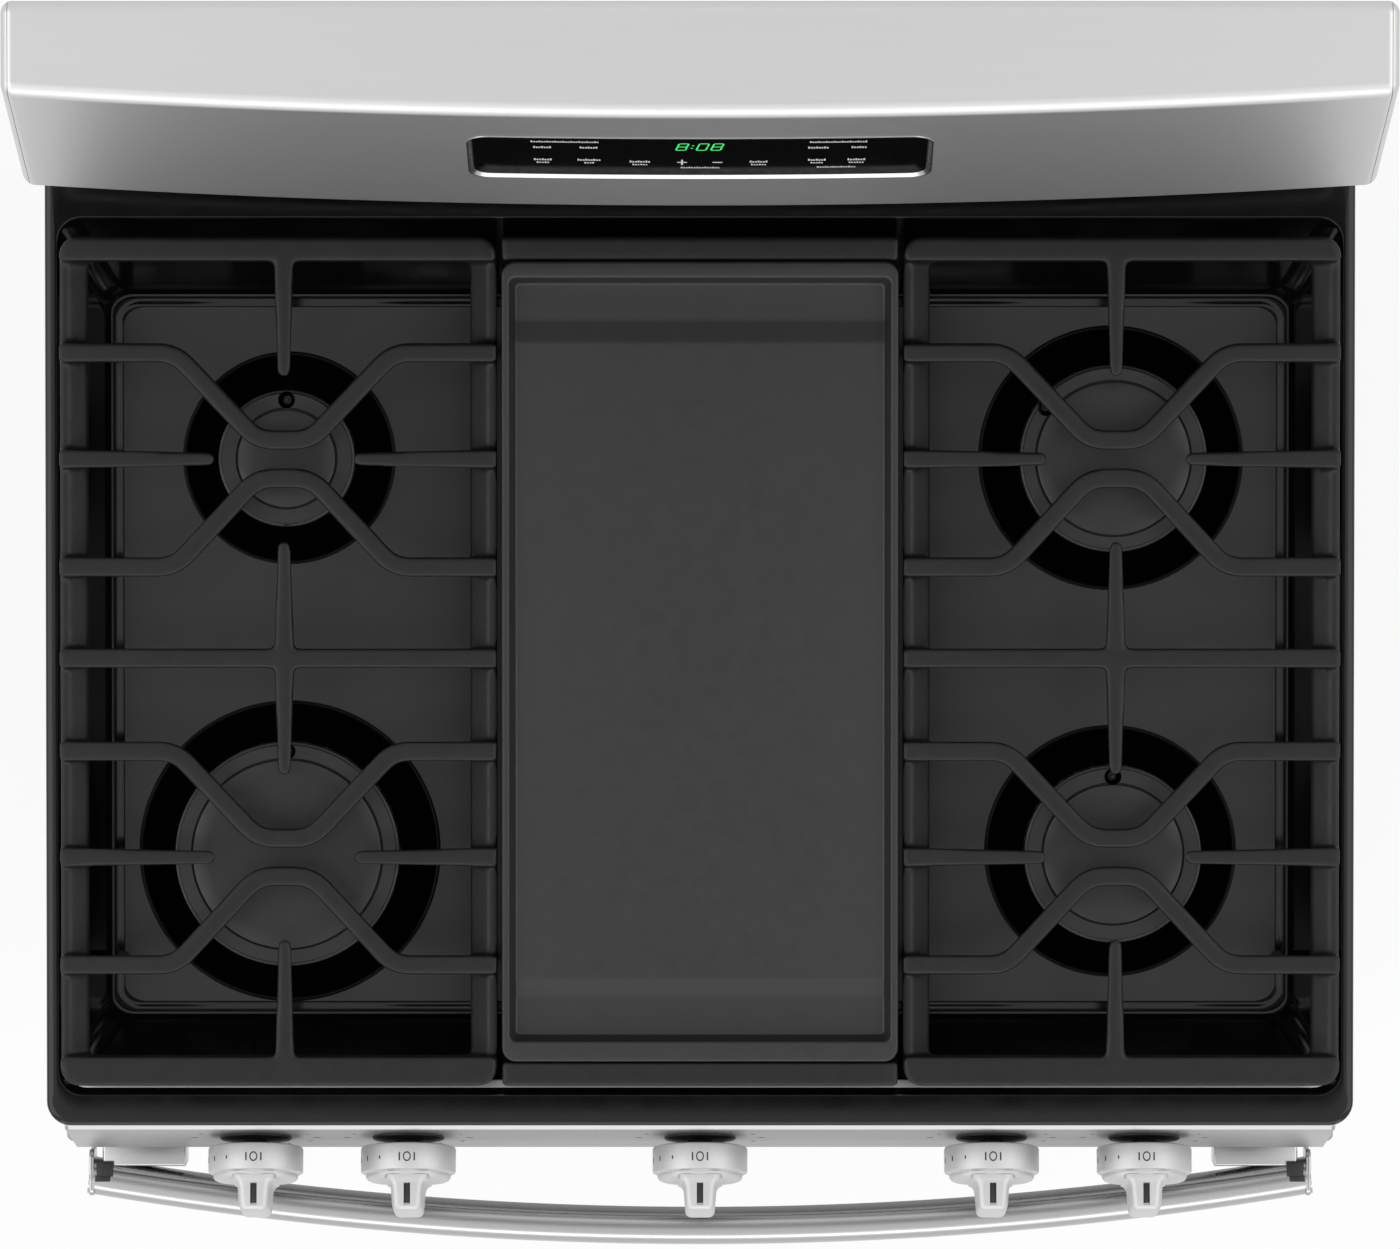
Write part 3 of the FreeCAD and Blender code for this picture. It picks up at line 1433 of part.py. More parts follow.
def vee_bar(name, ends, middle_x, middle_y, away, level):
    """A bar that runs straight, bends in to a burner's middle and back out."""
    flat_y = middle_y + away * d.vee_apex
    line = [
        (ends[0], level, d.bar_wide / 2),
        (middle_x - d.vee_foot, level, d.bar_wide / 2),
        (middle_x - d.vee_flat, flat_y, d.bar_tip / 2),
        (middle_x + d.vee_flat, flat_y, d.bar_tip / 2),
        (middle_x + d.vee_foot, level, d.bar_wide / 2),
        (ends[1], level, d.bar_wide / 2),
    ]
    lower = [(x, y - wide) for x, y, wide in line]
    upper = [(x, y + wide) for x, y, wide in reversed(line)]
    return profile(name, "XY_Plane", lower + upper, BAR_Z)


def side_grate(label, side):
    """Cast grate over two round burners."""
    near, far = d.grate_split, half - d.grate_side
    x = span(side, near, far)
    parts = [
        block(f"{label}_inner_rail", span(side, near, near + d.rail_wide), GRATE_Y, RAIL_Z),
        block(f"{label}_outer_rail", span(side, far - d.rail_wide, far), GRATE_Y, RAIL_Z),
        block(f"{label}_rear", x, (GRATE_Y[1] - d.rear_bar, GRATE_Y[1]), BAR_Z),
        block(f"{label}_front", x, (GRATE_Y[0], GRATE_Y[0] + d.front_bar), BAR_Z),
        block(f"{label}_middle", x, (pan_mid - d.bar_wide / 2, pan_mid + d.bar_wide / 2), BAR_Z),
    ]
    for row, tag in ((1, "back"), (-1, "fore")):
        bx, by = burner_place(side, row)
        for away in (1, -1):
            reach = d.vee_back if away > 0 else d.vee_front
            parts.append(vee_bar(f"{label}_{tag}_vee_{away + 1}", x, bx, by, away, by + away * reach))
        half_bar = d.bar_wide / 2 - d.finger_trim
        parts.append(block(f"{label}_{tag}_finger_a", (x[0], bx - d.finger_x),
                           (by - half_bar, by + half_bar), BAR_Z))
        parts.append(block(f"{label}_{tag}_finger_b", (bx + d.finger_x, x[1]),
                           (by - half_bar, by + half_bar), BAR_Z))
        wall = GRATE_Y[1] if row > 0 else GRATE_Y[0]
        for name, ends in (("outer", sorted_pair(by + row * d.finger_y, wall)),
                           ("inner", sorted_pair(by - row * d.finger_y, pan_mid))):
            parts.append(block(f"{label}_{tag}_finger_{name}", (bx - half_bar, bx + half_bar), ends, BAR_Z))
    for i, leg_y in enumerate(leg_rows()):
        for j, leg_x in enumerate((near, far - d.leg_in)):
            parts.append(block(f"{label}_leg_{i}_{j}", span(side, leg_x, leg_x + d.leg),
                               (leg_y - d.leg / 2, leg_y + d.leg / 2), LEG_Z))
    node(label, fuse(label + "_solid", *parts))


def sorted_pair(first, second):
    """Two values, the lower one first."""
    return (first, second) if first.value < second.value else (second, first)


def leg_rows():
    """Front and back rows of grate legs, under the outermost vee bars."""
    back = pan_mid + d.burner_pitch / 2 + d.vee_back
    front = pan_mid - d.burner_pitch / 2 - d.vee_front
    return front, back


GRIDDLE_Y = (GRATE_Y[0] + d.rear_bar, GRATE_Y[1] - d.rear_bar)


def centre_grate():
    """Open frame that carries the griddle."""
    reach = d.centre_half
    rail_top = d.griddle_z - d.griddle_thick - d.gap
    rail = (rail_top - d.rail_high, rail_top)
    bar = (rail_top - d.rail_high / 2, d.grate_z)
    rail_y = (GRATE_Y[0] + d.rail_wide, GRATE_Y[1] - d.rail_wide)
    parts = [
        block("centre_rear", (-reach, reach), (GRIDDLE_Y[1] + d.gap, GRATE_Y[1]), bar),
        block("centre_front", (-reach, reach), (GRATE_Y[0], GRIDDLE_Y[0] - d.gap), bar),
    ]
    for name, side in SIDES:
        parts.append(block(f"centre_rail_{name}", span(side, reach - d.rail_wide, reach), rail_y, rail))
        for i, leg_y in enumerate(leg_rows()):
            parts.append(block(f"centre_leg_{name}_{i}", span(side, reach - d.leg, reach),
                               (leg_y - d.leg / 2, leg_y + d.leg / 2), (LEG_Z[0], rail[1])))
    node("grate_centre", fuse("centre_solid", *parts))


def griddle():
    """Cast plate with a shallow cooking floor and a grease trough at each end."""
    low, high = d.griddle_z - d.griddle_thick, d.griddle_z
    x = (-d.centre_half, d.centre_half)
    plate = rounded_plate("griddle_plate", x, GRIDDLE_Y, (low, high), d.griddle_corner)
    inset = d.griddle_wall
    floor_x = (-d.centre_half + inset, d.centre_half - inset)
    floor_y = (GRIDDLE_Y[0] + d.griddle_front, GRIDDLE_Y[1] - d.griddle_rear)
    basin = rounded_plate("griddle_basin", floor_x, floor_y, (high - d.griddle_recess, high),
                          d.griddle_corner)
    trough_z = (low + d.griddle_base, high - d.griddle_recess)
    near, far = d.trough_in, d.trough_in + d.trough_wide
    troughs = [
        block("trough_front", floor_x, (floor_y[0] + near, floor_y[0] + far), trough_z),
        block("trough_back", floor_x, (floor_y[1] - far, floor_y[1] - near), trough_z),
    ]
    node("griddle", cut("griddle_solid", plate, basin, *troughs))


def build():
    """Make every sub-part, bench order from the floor up."""
    levelling_feet()
    base_frame()
    for name, side in SIDES:
        side_panel(f"side_panel_{name}", side)
    back_panel()
    screws()
    front_frame()
    hinge_receivers()
    oven_cavity()
    oven_insulation()
    oven_floor()
    bake_burner()
    broil_burner()
    oven_racks()
    oven_fittings()
    vent_duct()
    cooktop()
    burners()
    gas_valves()
    gas_manifold()
    gas_tubes()
    pressure_regulator()
    spark_module()
    control_panel()
    stems_and_knobs()
    backguard_riser()
    console()
    door_panels()
    door_hinges()
    door_handle()
    door_gasket()
    drawer()
    side_grate("grate_left", -1)
    side_grate("grate_right", 1)
    centre_grate()
    griddle()


def check_and_write():
    """Stop on any failed feature, then write each sub-part's file."""
    doc.recompute()
    for thing in doc.Objects:
        if {"Invalid", "Error"} & set(thing.State):
            raise RuntimeError(f"{thing.Label} did not compute")
    for piece in nodes:
        if piece.Shape.isNull() or not piece.Shape.isValid():
            raise RuntimeError(f"{piece.Label} has a bad shape")
    os.makedirs("parts", exist_ok=True)
    for piece in nodes:
        piece.Shape.exportStep(f"parts/{piece.Label}.step")
    print(f"{len(nodes)} sub-parts written")


build()
check_and_write()
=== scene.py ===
"""Looks of the freestanding gas range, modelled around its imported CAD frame."""

import json
import logging
import math
from dataclasses import dataclass, field
from enum import Enum
from typing import Callable, Iterable, Sequence

import bpy
from mathutils import Matrix, Vector

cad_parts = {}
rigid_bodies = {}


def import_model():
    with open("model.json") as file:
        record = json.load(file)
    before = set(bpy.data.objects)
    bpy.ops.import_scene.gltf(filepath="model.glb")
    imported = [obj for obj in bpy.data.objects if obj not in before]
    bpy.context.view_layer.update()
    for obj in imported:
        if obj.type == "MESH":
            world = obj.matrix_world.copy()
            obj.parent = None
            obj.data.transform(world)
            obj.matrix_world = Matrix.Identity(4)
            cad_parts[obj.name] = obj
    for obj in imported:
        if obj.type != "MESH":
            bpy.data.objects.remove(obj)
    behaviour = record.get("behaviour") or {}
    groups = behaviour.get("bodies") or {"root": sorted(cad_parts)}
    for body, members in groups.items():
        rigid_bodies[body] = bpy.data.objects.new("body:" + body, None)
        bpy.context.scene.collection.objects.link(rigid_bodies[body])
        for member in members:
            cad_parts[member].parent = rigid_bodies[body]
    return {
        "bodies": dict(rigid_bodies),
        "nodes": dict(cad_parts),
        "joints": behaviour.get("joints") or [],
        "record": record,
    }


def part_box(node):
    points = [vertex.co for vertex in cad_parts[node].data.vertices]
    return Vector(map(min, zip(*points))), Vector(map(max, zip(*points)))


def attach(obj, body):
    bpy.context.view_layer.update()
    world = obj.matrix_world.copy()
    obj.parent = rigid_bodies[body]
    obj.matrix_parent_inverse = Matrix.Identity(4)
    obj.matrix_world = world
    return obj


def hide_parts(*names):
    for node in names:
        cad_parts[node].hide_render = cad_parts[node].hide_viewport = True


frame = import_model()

Span = tuple[float, float]
Point = tuple[float, float, float]
MM = 0.001
LOG = logging.getLogger("gas_range")
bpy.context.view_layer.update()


# ---- Bench tools -----------------------------------------------------------

def deselect_all() -> None:
    """Leave edit mode and let go of everything."""
    if bpy.context.mode != "OBJECT":
        bpy.ops.object.mode_set(mode="OBJECT")
    bpy.ops.object.select_all(action="DESELECT")


def activate(piece: bpy.types.Object) -> None:
    """Make one piece the only selected and the active one.

    Args:
        piece: The object to work on.
    """
    deselect_all()
    piece.select_set(True)
    bpy.context.view_layer.objects.active = piece


def settle(name: str) -> bpy.types.Object:
    """Name the primitive just added and put its place into its mesh.

    Args:
        name: The piece's name.

    Returns:
        The object, at the origin, unturned and unscaled.
    """
    piece = bpy.context.active_object
    piece.name = name
    piece.data.name = name
    bpy.ops.object.transform_apply(location=True, rotation=True, scale=True)
    return piece


def modify(piece: bpy.types.Object, kind: str, **settings: object) -> bpy.types.Object:
    """Add a modifier to a piece and apply it.

    Args:
        piece: The object to change.
        kind: Blender's name of the modifier.
        **settings: The modifier's own settings.

    Returns:
        The same object.
    """
    activate(piece)
    modifier = piece.modifiers.new(kind.title(), kind)
    for name, value in settings.items():
        setattr(modifier, name, value)
    bpy.ops.object.modifier_apply(modifier=modifier.name)
    return piece


def soften(piece: bpy.types.Object, width: float, segments: int = 3, angle: float = 30.0) -> bpy.types.Object:
    """Round every edge sharper than an angle.

    Args:
        piece: The object to change.
        width: How far the rounding reaches from the edge, in metres.
        segments: Faces across each rounding.
        angle: Smallest edge angle that is rounded, in degrees.

    Returns:
        The same object, shaded smooth.
    """
    modify(piece, "BEVEL", width=width, segments=segments, limit_method="ANGLE",
           angle_limit=math.radians(angle), harden_normals=False, use_clamp_overlap=True)
    return smooth(piece)


def smooth(piece: bpy.types.Object, angle: float = 40.0) -> bpy.types.Object:
    """Shade a piece smooth except across edges sharper than an angle.

    Args:
        piece: The object to shade.
        angle: Largest edge angle that is smoothed over, in degrees.

    Returns:
        The same object.
    """
    activate(piece)
    bpy.ops.object.shade_smooth_by_angle(angle=math.radians(angle))
    return piece


def weigh(piece: bpy.types.Object) -> bpy.types.Object:
    """Let the large flat faces set the shading of a smoothed piece."""
    return modify(piece, "WEIGHTED_NORMAL", keep_sharp=True)


def slab(name: str, x: Span, y: Span, z: Span) -> bpy.types.Object:
    """A cube primitive stretched between two values along each axis.

    Args:
        name: The piece's name.
        x: Lowest and highest X.
        y: Lowest and highest Y.
        z: Lowest and highest Z.

    Returns:
        The new object.
    """
    deselect_all()
    spans = (x, y, z)
    bpy.ops.mesh.primitive_cube_add(
        size=1,
        location=[(low + high) / 2 for low, high in spans],
        scale=[high - low for low, high in spans],
    )
    return settle(name)


def choose(piece: bpy.types.Object, mode: str, test: Callable[[Vector, Vector], bool]) -> None:
    """Enter edit mode with only the faces or edges that pass a test selected.

    Args:
        piece: The object to edit.
        mode: FACE or EDGE.
        test: Takes a face's middle and normal, or an edge's middle and direction.
    """
    activate(piece)
    bpy.ops.object.mode_set(mode="EDIT")
    bpy.ops.mesh.select_mode(type=mode)
    bpy.ops.mesh.select_all(action="DESELECT")
    bpy.ops.object.mode_set(mode="OBJECT")
    mesh = piece.data
    if mode == "FACE":
        for face in mesh.polygons:
            face.select = test(face.center, face.normal)
    else:
        for edge in mesh.edges:
            ends = [mesh.vertices[index].co for index in edge.vertices]
            edge.select = test((ends[0] + ends[1]) / 2, (ends[1] - ends[0]).normalized())
    bpy.ops.object.mode_set(mode="EDIT")


def finish_edit(piece: bpy.types.Object) -> bpy.types.Object:
    """Turn all faces outwards and leave edit mode.

    Args:
        piece: The object being edited.

    Returns:
        The same object.
    """
    bpy.ops.mesh.select_all(action="SELECT")
    bpy.ops.mesh.remove_doubles(threshold=1e-6)
    bpy.ops.mesh.normals_make_consistent(inside=False)
    bpy.ops.object.mode_set(mode="OBJECT")
    return piece


def round_upright(piece: bpy.types.Object, radius: float, segments: int = 6) -> bpy.types.Object:
    """Round a slab's upright edges.

    Args:
        piece: The slab.
        radius: Corner radius in plan.
        segments: Faces round each corner.

    Returns:
        The same object.
    """
    choose(piece, "EDGE", lambda middle, way: abs(way.z) > 0.99)
    bpy.ops.mesh.bevel(offset=radius, segments=segments, affect="EDGES")
    return finish_edit(piece)


def turned(name: str, centre: Span, profile: Sequence[Span], sides: int = 96) -> bpy.types.Object:
    """A round piece drawn up from a disc, step by step, as on a lathe.

    Args:
        name: The piece's name.
        centre: Its axis in plan.
        profile: Radius and height of each step; the first and last are closed by a face.
        sides: Facets round the piece.

    Returns:
        The new object.
    """
    deselect_all()
    radius, z = profile[0]
    bpy.ops.mesh.primitive_circle_add(vertices=sides, radius=radius, fill_type="NGON",
                                      location=(*centre, z))
    piece = settle(name)
    bpy.ops.object.mode_set(mode="EDIT")
    bpy.ops.mesh.select_mode(type="FACE")
    bpy.ops.mesh.select_all(action="SELECT")
    for next_radius, next_z in profile[1:]:
        bpy.ops.mesh.extrude_region_move(TRANSFORM_OT_translate={"value": (0, 0, next_z - z)})
        scale = next_radius / radius
        bpy.ops.transform.resize(value=(scale, scale, 1), center_override=(*centre, next_z))
        radius, z = next_radius, next_z
    return finish_edit(piece)


def stepped_tray(name: str, radius: float, steps: Sequence[tuple[Span, Span, float]]) -> bpy.types.Object:
    """A rectangular pressing drawn from a plate, one rounded rectangle after another.

    Args:
        name: The piece's name.
        radius: Corner radius of the first rectangle.
        steps: X span, Y span and height of each rectangle in turn.

    Returns:
        The new object, an open sheet with a floor face.
    """
    deselect_all()
    x, y, z = steps[0]
    middle = ((x[0] + x[1]) / 2, (y[0] + y[1]) / 2, z)
    bpy.ops.mesh.primitive_plane_add(size=1, location=middle, scale=(1, 1, 1))
    bpy.context.active_object.scale = (x[1] - x[0], y[1] - y[0], 1)
    piece = settle(name)
    bpy.ops.object.mode_set(mode="EDIT")
    bpy.ops.mesh.select_mode(type="VERT")
    bpy.ops.mesh.select_all(action="SELECT")
    bpy.ops.mesh.bevel(offset=radius, segments=8, affect="VERTICES")
    bpy.ops.mesh.select_mode(type="FACE")
    bpy.ops.mesh.select_all(action="SELECT")
    for next_x, next_y, next_z in steps[1:]:
        shift = ((sum(next_x) - sum(x)) / 2, (sum(next_y) - sum(y)) / 2, next_z - z)
        bpy.ops.mesh.extrude_region_move(TRANSFORM_OT_translate={"value": shift})
        scale = ((next_x[1] - next_x[0]) / (x[1] - x[0]), (next_y[1] - next_y[0]) / (y[1] - y[0]), 1)
        bpy.ops.transform.resize(value=scale, center_override=(sum(next_x) / 2, sum(next_y) / 2, next_z))
        x, y, z = next_x, next_y, next_z
    bpy.ops.object.mode_set(mode="OBJECT")
    foot = steps[0][2]
    choose(piece, "FACE", lambda centre, normal: abs(centre.z - foot) < 1e-6 and abs(normal.z) > 0.99)
    bpy.ops.mesh.delete(type="ONLY_FACE")
    return finish_edit(piece)


def carve(piece: bpy.types.Object, tools: Iterable[bpy.types.Object], operation: str = "DIFFERENCE") -> bpy.types.Object:
    """Cut tools out of a piece, or keep only what they share, and remove the tools.

    Args:
        piece: The object to cut.
        tools: Closed objects.
        operation: DIFFERENCE, INTERSECT or UNION.

    Returns:
        The same object.
    """
    for tool in tools:
        modify(piece, "BOOLEAN", object=tool, operation=operation, solver="EXACT")
        bpy.data.objects.remove(tool)
    return piece


def join(name: str, pieces: Sequence[bpy.types.Object]) -> bpy.types.Object:
    """Join pieces into one object.

    Args:
        name: The result's name.
        pieces: The objects, all of them used up.

    Returns:
        The joined object.
    """
    activate(pieces[0])
    for piece in pieces[1:]:
        piece.select_set(True)
    bpy.ops.object.join()
    joined = bpy.context.active_object
    joined.name = name
    joined.data.name = name
    return joined


def copy_of(piece: bpy.types.Object, name: str, matrix: Matrix) -> bpy.types.Object:
    """A copy with its own mesh, moved by a matrix that goes into the mesh.

    Args:
        piece: The finished object.
        name: The copy's name.
        matrix: Where the copy goes.

    Returns:
        The new object.
    """
    twin = piece.copy()
    twin.data = piece.data.copy()
    twin.name = name
    twin.data.name = name
    twin.data.transform(matrix)
    bpy.context.scene.collection.objects.link(twin)
    if matrix.determinant() < 0:
        twin.data.flip_normals()
    return twin


def rounded_path(points: Sequence[Span], radius: float, steps: int = 6) -> list[Span]:
    """A plan path whose corners are turned into arcs.

    Args:
        points: The path's corners.
        radius: Radius of each bend.
        steps: Points along each bend.

    Returns:
        The points of the rounded path.
    """
    path = [Vector(points[0])]
    for before, corner, after in zip(points, points[1:], points[2:]):
        corner = Vector(corner)
        back = (Vector(before) - corner).normalized()
        ahead = (Vector(after) - corner).normalized()
        half_turn = (math.pi - back.angle(ahead)) / 2
        reach = radius * math.tan(half_turn)
        start, end = corner + back * reach, corner + ahead * reach
        for step in range(steps + 1):
            share = step / steps
            path.append((1 - share) ** 2 * start + 2 * share * (1 - share) * corner + share ** 2 * end)
    path.append(Vector(points[-1]))
    return [(point.x, point.y) for point in path]


def dress(piece: bpy.types.Object, material: bpy.types.Material, body: str,
          replaces: Sequence[str] = ()) -> bpy.types.Object:
    """Give a finished piece its material and its body, hide the CAD nodes it stands for, and report it.

    Args:
        piece: The finished object.
        material: Its finish.
        body: The CAD body that it moves with.
        replaces: CAD nodes that it stands for.

    Returns:
        The same object.
    """
    if not piece.data.materials:
        piece.data.materials.append(material)
    else:
        piece.data.materials[0] = material
    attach(piece, body)
    if replaces:
        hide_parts(*replaces)
    LOG.info("%s: %d faces on %s", piece.name, len(piece.data.polygons), body)
    return piece


def paint(piece: bpy.types.Object, material: bpy.types.Material,
          test: Callable[[Vector, Vector], bool]) -> bpy.types.Object:
    """Give the faces that pass a test a second finish.

    Args:
        piece: The piece, whose first finish dress sets.
        material: The second finish.
        test: Takes a face's middle and normal.

    Returns:
        The same object.
    """
    if not piece.data.materials:
        piece.data.materials.append(None)
    piece.data.materials.append(material)
    index = len(piece.data.materials) - 1
    for face in piece.data.polygons:
        if test(face.center, face.normal):
            face.material_index = index
    return piece


# ---- Finishes ----------------------------------------------------------------

def linear(colour: str, alpha: float = 1.0) -> tuple[float, float, float, float]:
    """Turn an sRGB hex colour into Blender's linear values.

    Args:
        colour: Six hex digits.
        alpha: Opacity.

    Returns:
        Linear red, green, blue and alpha.
    """
    parts = [int(colour[start:start + 2], 16) / 255 for start in (0, 2, 4)]
    red, green, blue = (part / 12.92 if part <= 0.04045 else ((part + 0.055) / 1.055) ** 2.4 for part in parts)
    return red, green, blue, alpha


def add_node(tree: bpy.types.NodeTree, kind: str, settings: dict[str, object] | None = None,
             links: dict[str, bpy.types.NodeSocket] | None = None) -> bpy.types.Node:
    """Add a shader node with its settings and its incoming links.

    Args:
        tree: The material's nodes.
        kind: Blender's name of the node.
        settings: Input values and properties by name; stops holds a colour ramp's stops.
        links: The socket that feeds each named input.

    Returns:
        The new node.
    """
    node = tree.nodes.new(kind)
    for name, value in (settings or {}).items():
        if name == "stops":
            ramp = node.color_ramp
            while len(ramp.elements) < len(value):
                ramp.elements.new(0.5)
            for element, (place, colour) in zip(ramp.elements, value):
                element.position = place
                element.color = colour
        elif name in node.inputs:
            node.inputs[name].default_value = value
        else:
            setattr(node, name, value)
    for name, socket in (links or {}).items():
        tree.links.new(socket, node.inputs[name])
    return node


def grey(value: float) -> tuple[float, float, float, float]:
    """A linear grey for a colour ramp that carries a number."""
    return value, value, value, 1.0


@dataclass(frozen=True)
class Finish:
    """A surface: its colour, its gloss and how it was made."""

    name: str
    colour: str
    roughness: float
    metallic: float = 0.0
    ior: float = 1.5
    coat: float = 0.0

    def build(self) -> bpy.types.Material:
        """Make the material, once.

        Returns:
            The material of this name.
        """
        known = bpy.data.materials.get(self.name)
        if known:
            return known
        material = bpy.data.materials.new(self.name)
        material.use_nodes = True
        material.diffuse_color = linear(self.colour)
        tree = material.node_tree
        shader = tree.nodes["Principled BSDF"]
        shader.inputs["Base Color"].default_value = linear(self.colour)
        shader.inputs["Roughness"].default_value = self.roughness
        shader.inputs["Metallic"].default_value = self.metallic
        if not self.metallic:
            shader.inputs["IOR"].default_value = self.ior
        shader.inputs["Coat Weight"].default_value = self.coat
        shader.inputs["Coat Roughness"].default_value = 0.05
        coordinates = add_node(tree, "ShaderNodeTexCoord")
        self.work(tree, shader, coordinates.outputs["Object"])
        return material

    def work(self, tree: bpy.types.NodeTree, shader: bpy.types.Node, place: bpy.types.NodeSocket) -> None:
        """Add what the making of the surface leaves on it; a plain one has fine unevenness.

        Args:
            tree: The material's nodes.
            shader: Its Principled shader.
            place: Object coordinates in metres.
        """
        self.vary(tree, shader, place, 6.0, 0.04)

    def vary(self, tree: bpy.types.NodeTree, shader: bpy.types.Node, place: bpy.types.NodeSocket,
             patch_mm: float, spread: float) -> bpy.types.Node:
        """Let the roughness drift over patches of a size.

        Args:
            tree: The material's nodes.
            shader: Its Principled shader.
            place: Where the pattern is read.
            patch_mm: Size of a patch in millimetres.
            spread: How far the roughness moves each way.

        Returns:
            The noise node.
        """
        noise = add_node(tree, "ShaderNodeTexNoise", {"Scale": 1000 / patch_mm, "Detail": 4.0}, {"Vector": place})
        ramp = add_node(tree, "ShaderNodeValToRGB", {"stops": (
            (0.35, grey(max(self.roughness - spread, 0.0))), (0.65, grey(self.roughness + spread)))},
            {"Fac": noise.outputs["Fac"]})
        tree.links.new(ramp.outputs["Color"], shader.inputs["Roughness"])
        return noise

    def bump(self, tree: bpy.types.NodeTree, shader: bpy.types.Node, height: bpy.types.NodeSocket,
             depth_mm: float) -> None:
        """Raise the surface by a height pattern.

        Args:
            tree: The material's nodes.
            shader: Its Principled shader.
            height: A pattern from 0 to 1.
            depth_mm: How high 1 stands, in millimetres.
        """
        bump = add_node(tree, "ShaderNodeBump", {"Distance": depth_mm * MM, "Strength": 1.0}, {"Height": height})
        tree.links.new(bump.outputs["Normal"], shader.inputs["Normal"])


@dataclass(frozen=True)
class Brushed(Finish):
    """Steel drawn under an abrasive belt: fine parallel scratches along one axis."""

    along: str = "x"
    scratch_mm: float = 0.35
    length_mm: float = 60.0
    depth_mm: float = 0.004

    def work(self, tree: bpy.types.NodeTree, shader: bpy.types.Node, place: bpy.types.NodeSocket) -> None:
        """Streaks in height and gloss."""
        scale = [1000 / self.scratch_mm] * 3
        scale["xyz".index(self.along)] = 1000 / self.length_mm
        stretched = add_node(tree, "ShaderNodeMapping", {"Scale": scale}, {"Vector": place})
        streaks = add_node(tree, "ShaderNodeTexNoise", {"Scale": 1.0, "Detail": 3.0},
                           {"Vector": stretched.outputs["Vector"]})
        gloss = add_node(tree, "ShaderNodeValToRGB", {"stops": (
            (0.3, grey(self.roughness - 0.02)), (0.7, grey(self.roughness + 0.02)))},
            {"Fac": streaks.outputs["Fac"]})
        tree.links.new(gloss.outputs["Color"], shader.inputs["Roughness"])
        self.bump(tree, shader, streaks.outputs["Fac"], self.depth_mm)


@dataclass(frozen=True)
class Enamel(Finish):
    """Glass fired on steel: glossy, with the slight waviness of orange peel."""

    peel_mm: float = 3.0
    peel_depth_mm: float = 0.01

    def work(self, tree: bpy.types.NodeTree, shader: bpy.types.Node, place: bpy.types.NodeSocket) -> None:
        """Long soft waves and a little drift in gloss."""
        self.vary(tree, shader, place, 25.0, 0.03)
        waves = add_node(tree, "ShaderNodeTexNoise", {"Scale": 1000 / self.peel_mm, "Detail": 1.0}, {"Vector": place})
        self.bump(tree, shader, waves.outputs["Fac"], self.peel_depth_mm)


@dataclass(frozen=True)
class Cast(Finish):
    """Metal poured into sand: a fine matt grain with a little change of tone."""

    light: str = "404040"
    grain_mm: float = 0.9
    grain_depth_mm: float = 0.05

    def work(self, tree: bpy.types.NodeTree, shader: bpy.types.Node, place: bpy.types.NodeSocket) -> None:
        """Sand grain in height, and cloudy tone."""
        self.vary(tree, shader, place, 8.0, 0.05)
        clouds = add_node(tree, "ShaderNodeTexNoise", {"Scale": 1000 / 30.0, "Detail": 3.0}, {"Vector": place})
        tone = add_node(tree, "ShaderNodeValToRGB", {"stops": (
            (0.35, linear(self.colour)), (0.7, linear(self.light)))}, {"Fac": clouds.outputs["Fac"]})
        tree.links.new(tone.outputs["Color"], shader.inputs["Base Color"])
        grain = add_node(tree, "ShaderNodeTexNoise", {"Scale": 1000 / self.grain_mm, "Detail": 2.0}, {"Vector": place})
        self.bump(tree, shader, grain.outputs["Fac"], self.grain_depth_mm)


@dataclass(frozen=True)
class Speckled(Finish):
    """Oven enamel: dark ground with pale flecks about a millimetre across."""

    fleck: str = "9AA2AE"
    fleck_mm: float = 5.0

    def work(self, tree: bpy.types.NodeTree, shader: bpy.types.Node, place: bpy.types.NodeSocket) -> None:
        """Flecks at the cell middles of a random pattern."""
        self.vary(tree, shader, place, 20.0, 0.05)
        cells = add_node(tree, "ShaderNodeTexVoronoi", {"Scale": 1000 / self.fleck_mm}, {"Vector": place})
        tone = add_node(tree, "ShaderNodeValToRGB", {"stops": (
            (0.10, linear(self.fleck)), (0.16, linear(self.colour)))}, {"Fac": cells.outputs["Distance"]})
        tree.links.new(tone.outputs["Color"], shader.inputs["Base Color"])


@dataclass(frozen=True)
class Spangled(Finish):
    """Hot-dip galvanised steel: crystals of zinc, each with its own tone."""

    light: str = "B9BEC2"
    crystal_mm: float = 14.0

    def work(self, tree: bpy.types.NodeTree, shader: bpy.types.Node, place: bpy.types.NodeSocket) -> None:
        """Flat random crystals in tone and gloss."""
        cells = add_node(tree, "ShaderNodeTexVoronoi", {"Scale": 1000 / self.crystal_mm}, {"Vector": place})
        tone = add_node(tree, "ShaderNodeValToRGB", {"stops": (
            (0.1, linear(self.colour)), (0.9, linear(self.light)))}, {"Fac": cells.outputs["Color"]})
        tree.links.new(tone.outputs["Color"], shader.inputs["Base Color"])
        self.vary(tree, shader, place, self.crystal_mm, 0.06)


